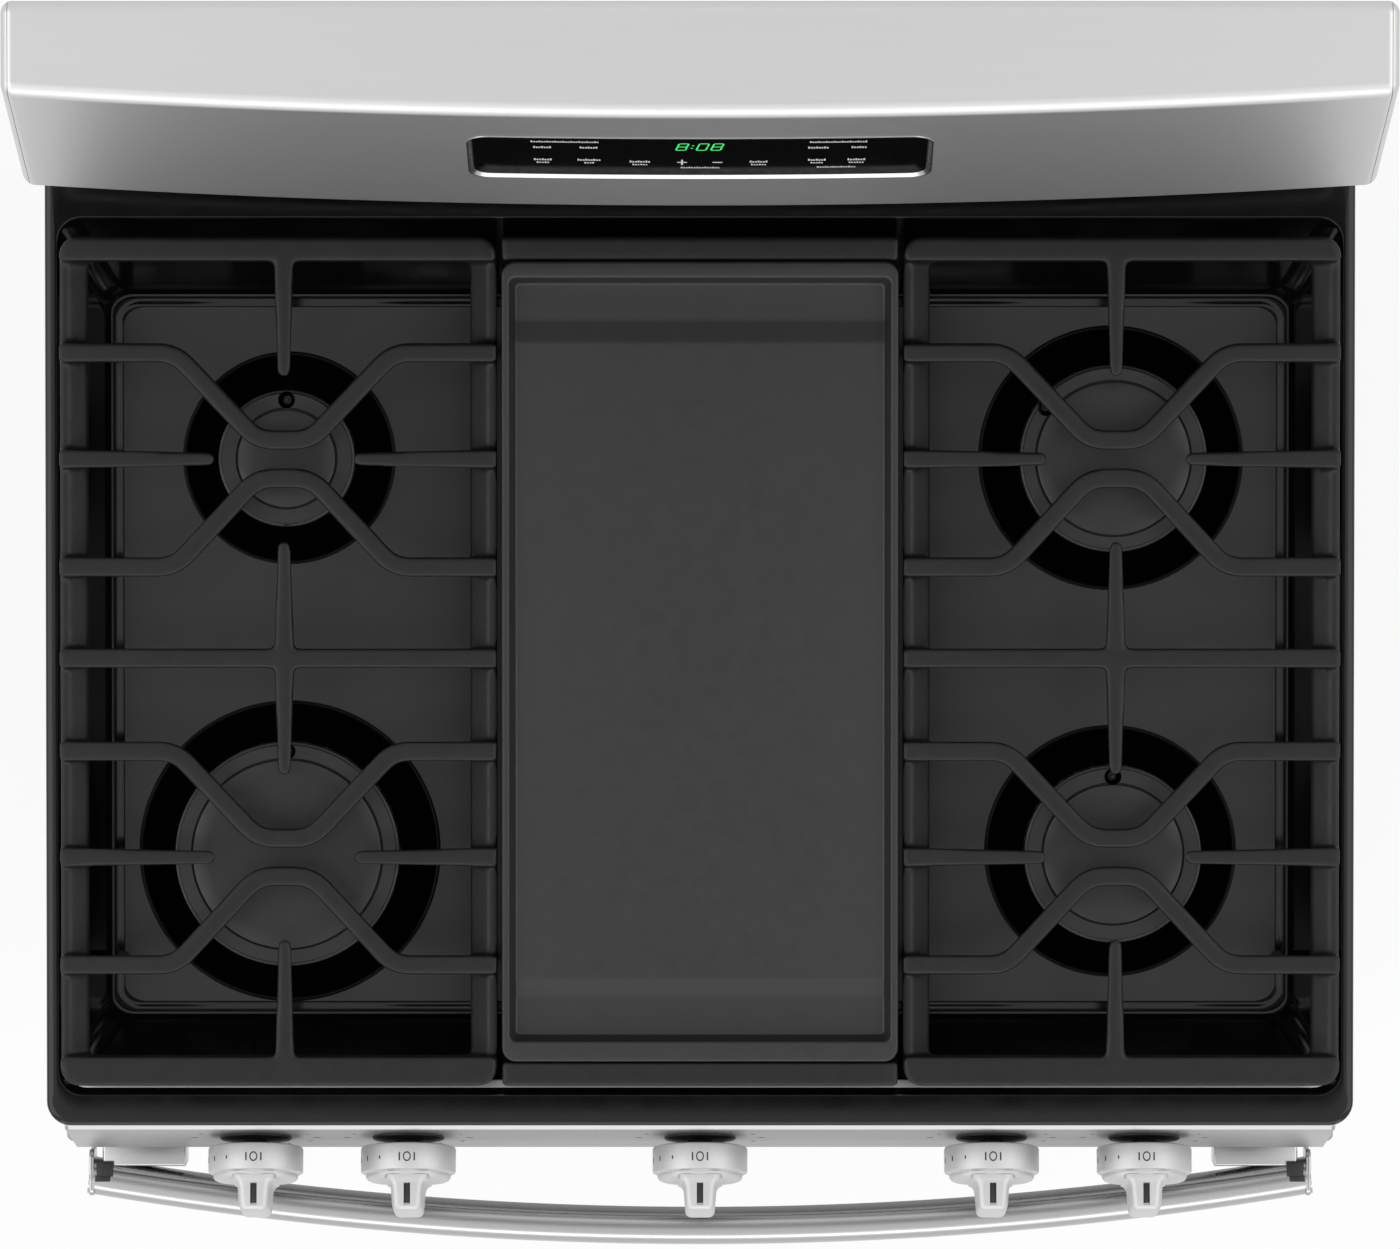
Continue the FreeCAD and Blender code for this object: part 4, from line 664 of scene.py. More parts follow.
@dataclass(frozen=True)
class Fibrous(Finish):
    """Wool or woven glass cord: long matt fibres in two tones."""

    light: str = "D8C98A"
    fibre_mm: float = 2.0

    def work(self, tree: bpy.types.NodeTree, shader: bpy.types.Node, place: bpy.types.NodeSocket) -> None:
        """Fibres along X in tone and height."""
        scale = (100 / self.fibre_mm, 1000 / self.fibre_mm, 1000 / self.fibre_mm)
        stretched = add_node(tree, "ShaderNodeMapping", {"Scale": scale}, {"Vector": place})
        fibres = add_node(tree, "ShaderNodeTexNoise", {"Scale": 1.0, "Detail": 6.0},
                          {"Vector": stretched.outputs["Vector"]})
        tone = add_node(tree, "ShaderNodeValToRGB", {"stops": (
            (0.3, linear(self.colour)), (0.7, linear(self.light)))}, {"Fac": fibres.outputs["Fac"]})
        tree.links.new(tone.outputs["Color"], shader.inputs["Base Color"])
        self.bump(tree, shader, fibres.outputs["Fac"], 0.6)


@dataclass(frozen=True)
class Lit(Finish):
    """Glowing display segments."""

    strength: float = 1.0

    def work(self, tree: bpy.types.NodeTree, shader: bpy.types.Node, place: bpy.types.NodeSocket) -> None:
        """Even light of the finish's own colour."""
        shader.inputs["Emission Color"].default_value = linear(self.colour)
        shader.inputs["Emission Strength"].default_value = self.strength


@dataclass(frozen=True)
class Clear(Finish):
    """Clear or tinted glass that light passes through."""

    def work(self, tree: bpy.types.NodeTree, shader: bpy.types.Node, place: bpy.types.NodeSocket) -> None:
        """Let light through, with faint smears."""
        shader.inputs["Transmission Weight"].default_value = 1.0
        self.vary(tree, shader, place, 40.0, 0.02)


# Brushed stainless steel: grey, with a soft streak along the drawing direction
STAINLESS = Brushed("stainless_brushed", "CDCDCD", 0.44, metallic=1.0, length_mm=140.0, depth_mm=0.0012)
# The control panel, door and drawer have the same brushed steel painted a shade darker: painted shade for the dim
# reflections on these upright faces
SHADED_FRONT_STEEL = Brushed("stainless_front", "A6A6A6", 0.40, metallic=1.0, length_mm=140.0, depth_mm=0.0012)
# Polished stainless steel of the handle: smoother, so that it mirrors in bands
HANDLE_STEEL = Brushed("stainless_polished", "B2B2B2", 0.26, metallic=1.0, scratch_mm=0.5, length_mm=90.0, depth_mm=0.0006)
# Near-white steel for the strip along the knob panel's top edge: a painted highlight for the rolled edge's bright line
HIGHLIGHT_STEEL = Brushed("stainless_bright", "E6E6E6", 0.24, metallic=1.0, length_mm=140.0, depth_mm=0.0006)
# Satin nickel plate of the knobs
KNOB_STEEL = Brushed("satin_nickel", "C4C4C4", 0.52, metallic=0.7, scratch_mm=0.4, length_mm=6.0, depth_mm=0.001)
# Porcelain enamel on the pan: black glass with a soft sheen
PAN_ENAMEL = Enamel("porcelain_enamel_black", "080808", 0.12, ior=1.42)
# The pan's black enamel inside the bowls, painted blacker and given little reflection: painted shade for the deep bowls
SHADED_BOWL_ENAMEL = Enamel("porcelain_enamel_bowl", "040404", 0.24, ior=1.18)
# The pressed floor carries the same enamel, dulled by heat
FLOOR_ENAMEL = Enamel("porcelain_enamel_heat_dulled", "1C1C1C", 0.42, peel_depth_mm=0.004)
# Enamelled burner caps
CAP_ENAMEL = Cast("burner_cap_enamel", "131313", 0.42, light="181818", grain_mm=0.6, grain_depth_mm=0.02)
# Cast iron with baked enamel, as the grates have
GRATE_IRON = Cast("cast_iron_enamelled", "111111", 0.45, light="141414", ior=1.38)
# Cast aluminium griddle with a non-stick coat
GRIDDLE_COAT = Cast("griddle_nonstick", "191919", 0.46, light="1B1B1B", grain_mm=1.2, grain_depth_mm=0.02)
# Die-cast burner heads, blackened by heat
BURNER_ALLOY = Cast("burner_alloy_blackened", "151515", 0.45, light="1B1B1B", grain_mm=0.7)
# Baked black paint on sheet steel
BLACK_PAINT = Enamel("baked_paint_black", "101011", 0.35, peel_mm=1.2, peel_depth_mm=0.006)
# Textured grey paint on the cabinet sides
SIDE_PAINT = Enamel("baked_paint_charcoal", "2A2A2C", 0.42, peel_mm=1.5, peel_depth_mm=0.02)
# Toughened glass with black print behind it
BLACK_GLASS = Finish("glass_black_backed", "020202", 0.08, ior=1.33)
# The touch pane has an etched face that mirrors little
TOUCH_GLASS = Finish("glass_etched_black", "0A0A0A", 0.12, ior=1.03)
# Pad-printed legends
WHITE_PRINT = Finish("print_white", "C9C9C9", 0.6)
DARK_PRINT = Finish("print_dark", "2B2B2B", 0.6)
# Fluorescent display segments
GREEN_LIGHT = Lit("display_green", "2CB458", 0.5, strength=1.0)
OVEN_ENAMEL = Speckled("oven_enamel_speckled", "20242C", 0.28)
ZINC = Spangled("galvanised_sheet", "9DA2A6", 0.38, metallic=1.0)
CHROME_WIRE = Finish("chrome_plated_wire", "D8D8D8", 0.12, metallic=1.0)
TUBE_ALLOY = Brushed("aluminium_drawn_tube", "C9CACC", 0.3, metallic=1.0)
WOOL = Fibrous("mineral_wool", "B9A65E", 0.9)
SEAL = Fibrous("glass_fibre_braid", "33332F", 0.85, light="55544E", fibre_mm=1.0)
BOARD = Speckled("circuit_board_green", "0F4A28", 0.45, fleck="C8B050", fleck_mm=6.0)
BRASS = Brushed("machined_brass", "C9A24E", 0.28, metallic=1.0)
TURNED_STEEL = Brushed("turned_steel", "BDBDBD", 0.25, metallic=1.0)
DIE_CAST = Cast("die_cast_alloy", "A5A6A8", 0.4, metallic=0.9, light="B5B6B8")
# Black nylon of the feet and spark module; it also paints the shade in the handle's end slots
BLACK_NYLON_AND_SLOT_SHADE = Enamel("moulded_nylon_black", "141414", 0.5, peel_mm=0.8)
# Black nylon of the collar behind each knob; it also colours the dark disc round each knob on the panel, a painted
# shadow and painted reflection of the knob
COLLAR_AND_SHADE_BLACK = Enamel("moulded_nylon_collar", "0A0A0A", 0.45, peel_mm=0.8)
CERAMIC = Enamel("igniter_ceramic", "3A3834", 0.4)
LAMP_GLASS = Clear("lamp_glass", "F2EFE4", 0.1, ior=1.45)


# ---- Shaping helpers for this range --------------------------------------------

def mm(*values: float) -> tuple[float, ...]:
    """Millimetres to metres."""
    return tuple(value * MM for value in values)


def face_frame(origin: Vector, lean: float) -> Matrix:
    """A frame on a face that looks forwards and leans back.

    Args:
        origin: A point of the face.
        lean: How far the face leans back from upright, in degrees.

    Returns:
        The matrix whose X runs right, Y up the face and Z straight out of it.
    """
    turn = math.radians(90.0 - lean)
    return Matrix.Translation(origin) @ Matrix.Rotation(turn, 4, "X")


def sorted_span(one: float, other: float) -> Span:
    """Two values, lowest first."""
    return min(one, other), max(one, other)


def place(piece: bpy.types.Object, matrix: Matrix) -> bpy.types.Object:
    """Move a piece's mesh by a matrix."""
    piece.data.transform(matrix)
    piece.data.update()
    return piece


def section(name: str, points: Sequence[Span]) -> bpy.types.Object:
    """A closed curve to sweep along a path.

    Args:
        name: The curve's name.
        points: Its corners, across and up.

    Returns:
        The curve object, to be removed after use.
    """
    curve = bpy.data.curves.new(name, "CURVE")
    curve.dimensions = "2D"
    spline = curve.splines.new("POLY")
    spline.points.add(len(points) - 1)
    for point, (across, up) in zip(spline.points, points):
        point.co = (across, up, 0, 1)
    spline.use_cyclic_u = True
    outline = bpy.data.objects.new(name, curve)
    bpy.context.scene.collection.objects.link(outline)
    return outline


def sweep(name: str, outline: bpy.types.Object, path: Sequence[tuple[float, float, float, float]]) -> bpy.types.Object:
    """Sweep an outline along a path, upright all the way, and make it a mesh.

    Args:
        name: The piece's name.
        outline: The section's curve.
        path: X, Y, Z and size of the section at each point.

    Returns:
        The closed mesh.
    """
    curve = bpy.data.curves.new(name, "CURVE")
    curve.dimensions = "3D"
    curve.twist_mode = "Z_UP"
    curve.bevel_mode = "OBJECT"
    curve.bevel_object = outline
    curve.use_fill_caps = True
    spline = curve.splines.new("POLY")
    spline.points.add(len(path) - 1)
    for point, (x, y, z, size) in zip(spline.points, path):
        point.co = (x, y, z, 1)
        point.radius = size
    piece = bpy.data.objects.new(name, curve)
    bpy.context.scene.collection.objects.link(piece)
    activate(piece)
    bpy.ops.object.convert(target="MESH")
    piece = bpy.context.active_object
    bpy.ops.object.mode_set(mode="EDIT")
    return finish_edit(piece)


# ---- Cooktop ---------------------------------------------------------------------

@dataclass(frozen=True)
class Burner:
    """One burner: where it stands and the radii of its bowl, head and cap."""

    name: str
    x: float
    y: float
    bowl: float
    head: float
    cap: float
    spark: Span


@dataclass
class Cooktop:
    """The enamelled pan, its bowls, and the burners that stand in them."""

    rim_corner: float = 14 * MM
    rim_round: float = 3 * MM
    rim_fall: float = 0.5 * MM
    lip: float = 8 * MM
    pan_top_x: float = 371 * MM
    pan_top_y: Span = (-259 * MM, 248 * MM)
    pan_floor_x: float = 344 * MM
    pan_floor_y: Span = (-216 * MM, 205 * MM)
    floor_z: float = 856 * MM
    bead: float = 1.6 * MM
    bead_wide: float = 7.5 * MM
    steel: float = 1.6 * MM
    bowl_deep: float = 12 * MM
    under_riser: float = 12 * MM
    collar: float = 20 * MM
    throat: float = 14 * MM
    head_foot: float = 874 * MM
    head_top: float = 880 * MM
    ring_top: float = 889 * MM
    groove: float = 0.9 * MM
    groove_deep: float = 2.6 * MM
    cap_top: float = 891.2 * MM
    burners: tuple[Burner, ...] = (
        Burner("left_rear", *mm(-240, 109.5, 60, 39.8, 28.4), mm(0, 34)),
        Burner("left_front", *mm(-240, -120.5, 86, 65.4, 54.8), mm(0, 60)),
        Burner("right_rear", *mm(240, 109.5, 75.2, 54.5, 44.5), mm(-39, 29.6)),
        Burner("right_front", *mm(240, -120.5, 71.5, 51.7, 40.5), mm(0, 45)),
    )
    oval_x: float = 31 * MM
    oval_y: Span = (-100.5 * MM, 89.5 * MM)
    oval_bowl: float = 9 * MM

    def stadium(self, name: str, grow: float, z: Span) -> bpy.types.Object:
        """A closed oval block round the middle burner.

        Args:
            name: The block's name.
            grow: How far it stands outside the burner head.
            z: Its lowest and highest Z.

        Returns:
            The new object.
        """
        x = self.oval_x + grow
        block = slab(name, (-x, x), (self.oval_y[0] - grow, self.oval_y[1] + grow), z)
        return round_upright(block, x - 1e-5, 24)

    def pan(self) -> bpy.types.Object:
        """Draw the pan from a plate, cut the bowls' holes and give it its thickness.

        Returns:
            The pan.
        """
        low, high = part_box("cooktop")
        out_x, front, back, top = high.x, low.y, high.y + self.under_riser, high.z
        edge = self.rim_round
        middle = self.floor_z + self.bead
        foot_x, foot_y = self.pan_floor_x, self.pan_floor_y
        wall_x, wall_y = self.pan_top_x, self.pan_top_y

        def ring(x: float, y: Span, grow: float, z: float) -> tuple[Span, Span, float]:
            """One rectangle of the drawing: its spans grown by a distance, at a height."""
            return (-x - grow, x + grow), (y[0] - grow, y[1] + grow), z

        outer = (front, back)
        pan = stepped_tray("cooktop_pan", self.rim_corner, (
            ring(out_x, outer, 0, top - self.lip),
            ring(out_x, outer, 0, top - edge - self.rim_fall),
            ring(out_x, outer, -edge * 0.13, top - edge * 0.5 - self.rim_fall),
            ring(out_x, outer, -edge * 0.5, top - edge * 0.13 - self.rim_fall),
            ring(out_x, outer, -edge, top - self.rim_fall),
            ring(wall_x, wall_y, 0.6 * edge, top),
            ring(wall_x, wall_y, 0.2 * edge, top - edge * 0.2),
            ring(wall_x, wall_y, 0, top - edge * 0.8),
            ring(foot_x, foot_y, 4.0 * self.bead, self.floor_z + 6.0 * self.bead),
            ring(foot_x, foot_y, 1.5 * self.bead, self.floor_z + 1.5 * self.bead),
            ring(foot_x, foot_y, 0, self.floor_z),
            ring(foot_x, foot_y, -0.7 * self.bead, self.floor_z),
            ring(foot_x, foot_y, -0.25 * self.bead_wide, middle),
            ring(foot_x, foot_y, -0.65 * self.bead_wide, middle),
            ring(foot_x, foot_y, -self.bead_wide, self.floor_z),
        ))
        modify(pan, "SOLIDIFY", thickness=self.steel, offset=-1)
        span = (self.floor_z - 5 * self.steel, self.floor_z + 5 * self.steel)
        holes = [turned(f"hole_{burner.name}", (burner.x, burner.y),
                        ((burner.bowl, span[0]), (burner.bowl, span[1]))) for burner in self.burners]
        carve(pan, holes + [self.stadium("hole_oval", self.oval_bowl, span)])
        return weigh(smooth(pan, 32))

    def bowl(self, burner: Burner) -> bpy.types.Object:
        """A round bowl with a rolled lip over the pan's hole.

        Args:
            burner: The burner that stands in it.

        Returns:
            The bowl.
        """
        lip, foot, steel = self.floor_z + 0.8 * MM, self.floor_z - self.bowl_deep, self.steel
        radius = burner.bowl
        dish = turned(f"bowl_{burner.name}", (burner.x, burner.y), (
            (self.throat, foot - steel), (radius - 8 * MM, foot - steel), (radius - 3 * MM, foot + 2 * MM),
            (radius - 0.2 * MM, lip - 3 * MM), (radius + 1.6 * MM, lip - 0.9 * MM), (radius + 2.2 * MM, lip - 0.4 * MM),
            (radius + 1.6 * MM, lip), (radius, lip - 0.1 * MM), (radius - 1.5 * MM, lip - 2 * MM),
            (radius - 5 * MM, foot + 4.5 * MM), (burner.head - 4 * MM, foot + 0.6 * MM),
            (burner.head - 8 * MM, foot), (self.throat, foot),
        ))
        return smooth(dish, 60)

    def oval(self) -> bpy.types.Object:
        """The long bowl under the griddle."""
        foot = self.floor_z - self.bowl_deep
        dish = self.stadium("bowl_oval", self.oval_bowl + self.steel, (foot, self.floor_z + 0.8 * MM))
        inner = self.stadium("bowl_oval_inner", self.oval_bowl, (foot + self.steel, self.floor_z + 5 * MM))
        return soften(carve(dish, [inner]), 0.4 * MM, 2, 50)

    def head(self, burner: Burner) -> bpy.types.Object:
        """A cast burner head with flame ports under its cap.

        Args:
            burner: Its burner.

        Returns:
            The head.
        """
        foot = self.floor_z - self.bowl_deep + 0.5 * MM
        radius, top, inner = burner.head, self.ring_top, burner.cap + self.groove
        sides = 96
        head = turned(f"head_{burner.name}", (burner.x, burner.y), (
            (self.throat, foot), (self.collar, foot), (self.collar, foot + 20 * MM),
            (radius - 4 * MM, self.head_foot - 1 * MM), (radius - 0.6 * MM, self.head_foot + 0.6 * MM),
            (radius, self.head_foot + 2 * MM), (radius, top - 2.4 * MM), (radius - 0.5 * MM, top - 1.0 * MM),
            (radius - 1.6 * MM, top - 0.7 * MM), (radius - 2.2 * MM, top), (inner + 0.3 * MM, top),
            (inner, top - 0.3 * MM), (inner, top - self.groove_deep), (inner - 4 * MM, top - self.groove_deep),
        ), sides)
        middle = Vector((burner.x, burner.y))

        def port(centre: Vector, normal: Vector) -> bool:
            """Every third facet of the outer wall."""
            out = centre.xy - middle
            facet = round((math.atan2(out.y, out.x) / math.tau) * sides - 0.5)
            return abs(out.length - radius) < 0.4 * MM and abs(normal.z) < 0.1 and facet % 3 == 0

        choose(head, "FACE", port)
        bpy.ops.mesh.inset(thickness=0.4 * MM, use_individual=True)
        bpy.ops.mesh.extrude_faces_move(TRANSFORM_OT_shrink_fatten={"value": -2.2 * MM})
        finish_edit(head)
        spark = (burner.x + burner.spark[0], burner.y + burner.spark[1])
        socket = turned(f"socket_{burner.name}", spark,
                        ((5.0 * MM, self.head_foot - 12 * MM), (5.0 * MM, self.ring_top + MM)), 32)
        notch_way = -1 if burner.spark[1] > 0 else 1
        notch_y = burner.y + notch_way * radius
        notch = slab(f"notch_{burner.name}", (burner.x - 1.6 * MM, burner.x + 1.6 * MM),
                     (notch_y - 1.4 * MM, notch_y + 1.4 * MM), (self.head_foot + 4 * MM, self.ring_top + MM))
        return smooth(carve(head, [socket, notch]), 35)

    def cap(self, burner: Burner) -> bpy.types.Object:
        """A pressed and enamelled cap with a turned-down rim.

        Args:
            burner: Its burner.

        Returns:
            The cap.
        """
        radius, low, top = burner.cap, self.ring_top - self.groove_deep + 0.2 * MM, self.cap_top
        cap = turned(f"cap_{burner.name}", (burner.x, burner.y), (
            (radius - 7 * MM, low + 0.3 * MM), (radius - 0.4 * MM, low), (radius, low + 0.4 * MM),
            (radius, top - 0.9 * MM), (radius - 0.3 * MM, top - 0.3 * MM), (radius - 1.1 * MM, top),
            (radius - 9 * MM, top + 0.3 * MM), (radius * 0.45, top + 0.4 * MM), (2 * MM, top + 0.4 * MM),
        ))
        return smooth(cap, 40)

    def oval_head(self) -> tuple[bpy.types.Object, bpy.types.Object]:
        """The long head and its cap.

        Returns:
            The head and the cap.
        """
        foot = self.floor_z - self.bowl_deep + 0.5 * MM
        collar = turned("head_oval_collar", (0, sum(self.oval_y) / 2),
                        ((self.collar, foot), (self.collar, self.head_top - 9 * MM)))
        body = self.stadium("head_oval_body", 0, (self.head_top - 10 * MM, self.head_top))
        choose(body, "FACE", lambda centre, normal: normal.z > 0.9)
        bpy.ops.mesh.inset(thickness=2.5 * MM)
        bpy.ops.mesh.extrude_region_move(TRANSFORM_OT_translate={"value": (0, 0, 1.2 * MM)})
        finish_edit(body)
        cap = self.stadium("cap_oval", -2.4 * MM, (self.head_top + 1.4 * MM, self.head_top + 7 * MM))
        soften(cap, 1.6 * MM, 4, 50)
        return soften(join("head_oval", [body, collar]), 0.6 * MM, 2, 50), cap

    def igniter(self, burner: Burner) -> bpy.types.Object:
        """A ceramic spark electrode with its thin tip.

        Args:
            burner: The burner it lights.

        Returns:
            The electrode.
        """
        foot = self.floor_z - self.bowl_deep + 2 * MM
        low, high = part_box("igniters")
        radius = 3.2 * MM
        rod = turned(f"igniter_{burner.name}", (burner.x + burner.spark[0], burner.y + burner.spark[1]), (
            (radius - 0.6 * MM, foot), (radius, foot + 0.6 * MM), (radius, high.z - 6 * MM),
            (radius - 1 * MM, high.z - 4.5 * MM), (1.0 * MM, high.z - 4.5 * MM), (1.0 * MM, high.z - 0.4 * MM),
            (0.6 * MM, high.z),
        ), 32)
        return smooth(rod, 40)

    def build(self) -> None:
        """Make the pan, bowls, heads, caps and igniters and dress them."""
        bowls = [self.bowl(burner) for burner in self.burners] + [self.oval()]
        pan = self.pan()
        paint(pan, FLOOR_ENAMEL.build(), lambda centre, normal: normal.z > 0.99
              and centre.z < self.floor_z + 0.5 * MM)
        dress(pan, PAN_ENAMEL.build(), "cabinet", ["cooktop"])
        # The bowls' blacker enamel is painted shade.
        dress(join("cooktop_bowls", bowls), SHADED_BOWL_ENAMEL.build(), "cabinet")
        long_head, long_cap = self.oval_head()
        heads = [self.head(burner) for burner in self.burners] + [long_head]
        caps = [self.cap(burner) for burner in self.burners] + [long_cap]
        dress(join("burner_head_castings", heads), BURNER_ALLOY.build(), "cabinet", ["burner_heads"])
        dress(join("burner_cap_pressings", caps), CAP_ENAMEL.build(), "cabinet", ["burner_caps"])
        oval = Burner("oval", 0, self.oval_y[1], 0, 0, 0, (0, 3.2 * MM))
        rods = [self.igniter(burner) for burner in (*self.burners, oval)]
        dress(join("spark_electrodes", rods), CERAMIC.build(), "cabinet", ["igniters"])


# ---- Grates and griddle --------------------------------------------------------------

class Side(Enum):
    """Which side of the range a piece is on."""

    LEFT = -1
    RIGHT = 1


@dataclass
class Grates:
    """The two cast side grates and the centre frame that carries the griddle."""

    top: float = 922 * MM
    bar_deep: float = 14 * MM
    bar_half: float = 5.85 * MM
    tip_half: float = 3.5 * MM
    rail_top: float = 915 * MM
    rail_low: float = 903 * MM
    rail_wide: float = 16 * MM
    rail_flat: float = 5 * MM
    rail_lip: float = 2.5 * MM
    inner_x: float = 117.3 * MM
    outer_x: float = 369.6 * MM
    front_y: float = -253 * MM
    back_y: float = 237.9 * MM
    front_bar: float = 17 * MM
    back_bar: float = 14.4 * MM
    corner: float = 11 * MM
    burner_x: float = 240 * MM
    middle_y: float = -5.5 * MM
    burner_pitch: float = 230 * MM
    vee_back: float = 61.3 * MM
    vee_front: float = 62.3 * MM
    vee_foot: float = 63 * MM
    vee_flat: float = 15.5 * MM
    vee_apex: float = 11 * MM
    finger_x: float = 40 * MM
    finger_y: float = 47.5 * MM
    leg: float = 10 * MM
    leg_in: float = 32 * MM
    foot_z: float = 856.4 * MM
    frame_rail_top: float = 905.6 * MM
    frame_half: float = 114.4 * MM
    frame_bar: float = 14.1 * MM
    frame_rail: float = 9 * MM
    voxel: float = 1.7 * MM

    def leg_rows(self) -> Span:
        """The front and back rows of legs, under the outermost bent bars."""
        reach = self.burner_pitch / 2
        return self.middle_y - reach - self.vee_front, self.middle_y + reach + self.vee_back

    def bar_section(self, half: float, deep: float) -> bpy.types.Object:
        """The outline of a bar: flat on top, tapering downwards, its origin at the top.

        Args:
            half: Half the width on top.
            deep: Depth of the bar.

        Returns:
            The section's curve.
        """
        chamfer = 1.2 * MM
        low = half * 0.72
        return section("bar_section", ((-half + chamfer, 0), (half - chamfer, 0), (half, -chamfer),
                                       (low, -deep), (-low, -deep), (-half, -chamfer)))

    def bar(self, name: str, points: Sequence[Span], bend: float = 25 * MM,
            taper: Span = (1.0, 1.0), tip: bool = False) -> bpy.types.Object:
        """A bar along a plan path, its top level with the others.

        Args:
            name: The bar's name.
            points: Corners of its middle line in plan.
            bend: Radius of its bends.
            taper: Section size at its start and end.
            tip: Whether its end is a rounded finger tip.

        Returns:
            The bar.
        """
        outline = self.bar_section(self.bar_half, self.bar_deep)
        plan = rounded_path(points, bend) if len(points) > 2 else list(points)
        lengths = [0.0]
        for here, there in zip(plan, plan[1:]):
            lengths.append(lengths[-1] + math.dist(here, there))
        path = [(x, y, self.top, taper[0] + (taper[1] - taper[0]) * length / lengths[-1])
                for (x, y), length in zip(plan, lengths)]
        if tip:
            x, y, z, size = path.pop()
            before = Vector(plan[-2])
            way = (Vector((x, y)) - before).normalized()
            reach = self.bar_half * size
            for share in (1.0, 0.8, 0.6, 0.4, 0.2, 0.05):
                point = Vector((x, y)) - way * reach * share
                path.append((point.x, point.y, z, size * math.sqrt(1 - (1 - share) ** 2)))
        piece = sweep(name, outline, path)
        bpy.data.objects.remove(outline)
        return piece

    def cast(self, name: str, pieces: Sequence[bpy.types.Object]) -> bpy.types.Object:
        """Melt overlapping pieces into one casting with soft edges.

        Args:
            name: The casting's name.
            pieces: Closed pieces that overlap.

        Returns:
            The casting.
        """
        casting = join(name, pieces)
        modify(casting, "REMESH", mode="VOXEL", voxel_size=self.voxel, use_smooth_shade=True)
        modify(casting, "SMOOTH", factor=0.5, iterations=3)
        return smooth(casting, 60)

    def side(self, side: Side) -> bpy.types.Object:
        """One side grate: four rails, four bent bars, a middle bar, eight fingers and four legs.

        Args:
            side: Left or right.

        Returns:
            The grate.
        """
        inner, outer = self.inner_x, self.outer_x
        half = self.bar_half
        name = side.name.lower()
        pieces = []

        def flip(points: Iterable[Span]) -> list[Span]:
            """Points of the right grate moved to this side."""
            return [(side.value * x, y) for x, y in points]

        frame = slab(f"frame_{name}", sorted_span(side.value * inner, side.value * outer),
                     (self.front_y, self.back_y), (self.rail_low, self.rail_top))
        round_upright(frame, self.corner)
        x = sorted_span(side.value * (inner + self.rail_wide), side.value * (outer - self.rail_wide))
        y = (self.front_y + self.front_bar / 2, self.back_y - self.back_bar / 2)
        knee, rise = self.rail_low + self.rail_lip, self.rail_top - self.rail_low - self.rail_lip + MM
        opening = slab("frame_opening", x, y, (self.rail_low - MM, knee))
        choose(opening, "FACE", lambda centre, normal: normal.z > 0.9)
        bpy.ops.mesh.extrude_region_move(TRANSFORM_OT_translate={"value": (0, 0, rise)})
        grow = 2 * (self.rail_wide - self.rail_flat) * rise / (rise - MM)
        bpy.ops.transform.resize(value=(1 + grow / (x[1] - x[0]), 1, 1),
                                 center_override=(sum(x) / 2, sum(y) / 2, knee + rise))
        finish_edit(opening)
        pieces.append(carve(frame, [opening]))
        for label, low, high in (("front", self.front_y, self.front_y + self.front_bar),
                                 ("back", self.back_y - self.back_bar, self.back_y)):
            cross = slab(f"{label}_{name}", sorted_span(side.value * inner, side.value * outer),
                         (low, high), (self.rail_low, self.top))
            corner_y = self.front_y if label == "front" else self.back_y
            choose(cross, "EDGE", lambda middle, way: abs(way.z) > 0.99 and abs(middle.y - corner_y) < 1e-4)
            bpy.ops.mesh.bevel(offset=self.corner, segments=6, affect="EDGES")
            finish_edit(cross)
            pieces.append(soften(cross, 1.4 * MM, 2))
        for row in (-1, 1):
            centre = self.middle_y + row * self.burner_pitch / 2
            for way, reach in ((-1, self.vee_front), (1, self.vee_back)):
                bar_y = centre + way * reach
                apex_y = centre + way * self.vee_apex
                turn = self.vee_foot
                path = flip(((inner, bar_y), (self.burner_x - turn, bar_y), (self.burner_x - self.vee_flat, apex_y),
                             (self.burner_x + self.vee_flat, apex_y), (self.burner_x + turn, bar_y), (outer, bar_y)))
                pieces.append(self.bar(f"vee_{name}_{row}_{way}", path, 22 * MM))
            for start, end in ((inner, self.burner_x - self.finger_x), (outer, self.burner_x + self.finger_x)):
                path = flip(((start, centre), ((start + end) / 2, centre), (end, centre)))
                pieces.append(self.bar(f"side_finger_{name}_{row}_{start}", path, 0, (1.0, 0.68), tip=True))
            for start, way in ((self.middle_y, -row), (self.back_y - half if row > 0 else self.front_y + half, row)):
                end = centre + way * self.finger_y
                path = flip(((self.burner_x, start), (self.burner_x, (start + end) / 2), (self.burner_x, end)))
                pieces.append(self.bar(f"cross_finger_{name}_{row}_{way}", path, 0, (1.05, 0.66), tip=True))
        pieces.append(self.bar(f"middle_{name}", flip(((inner, self.middle_y), (outer, self.middle_y)))))
        for x in (inner + self.leg / 2, outer - self.leg_in):
            for y in self.leg_rows():
                leg = turned(f"leg_{name}", (side.value * x, y), (
                    (0.34 * self.leg, self.foot_z), (0.42 * self.leg, self.foot_z + MM),
                    (0.5 * self.leg, self.top - self.bar_deep + 2 * MM)), 20)
                pieces.append(leg)
        return self.cast(f"grate_{name}_casting", pieces)

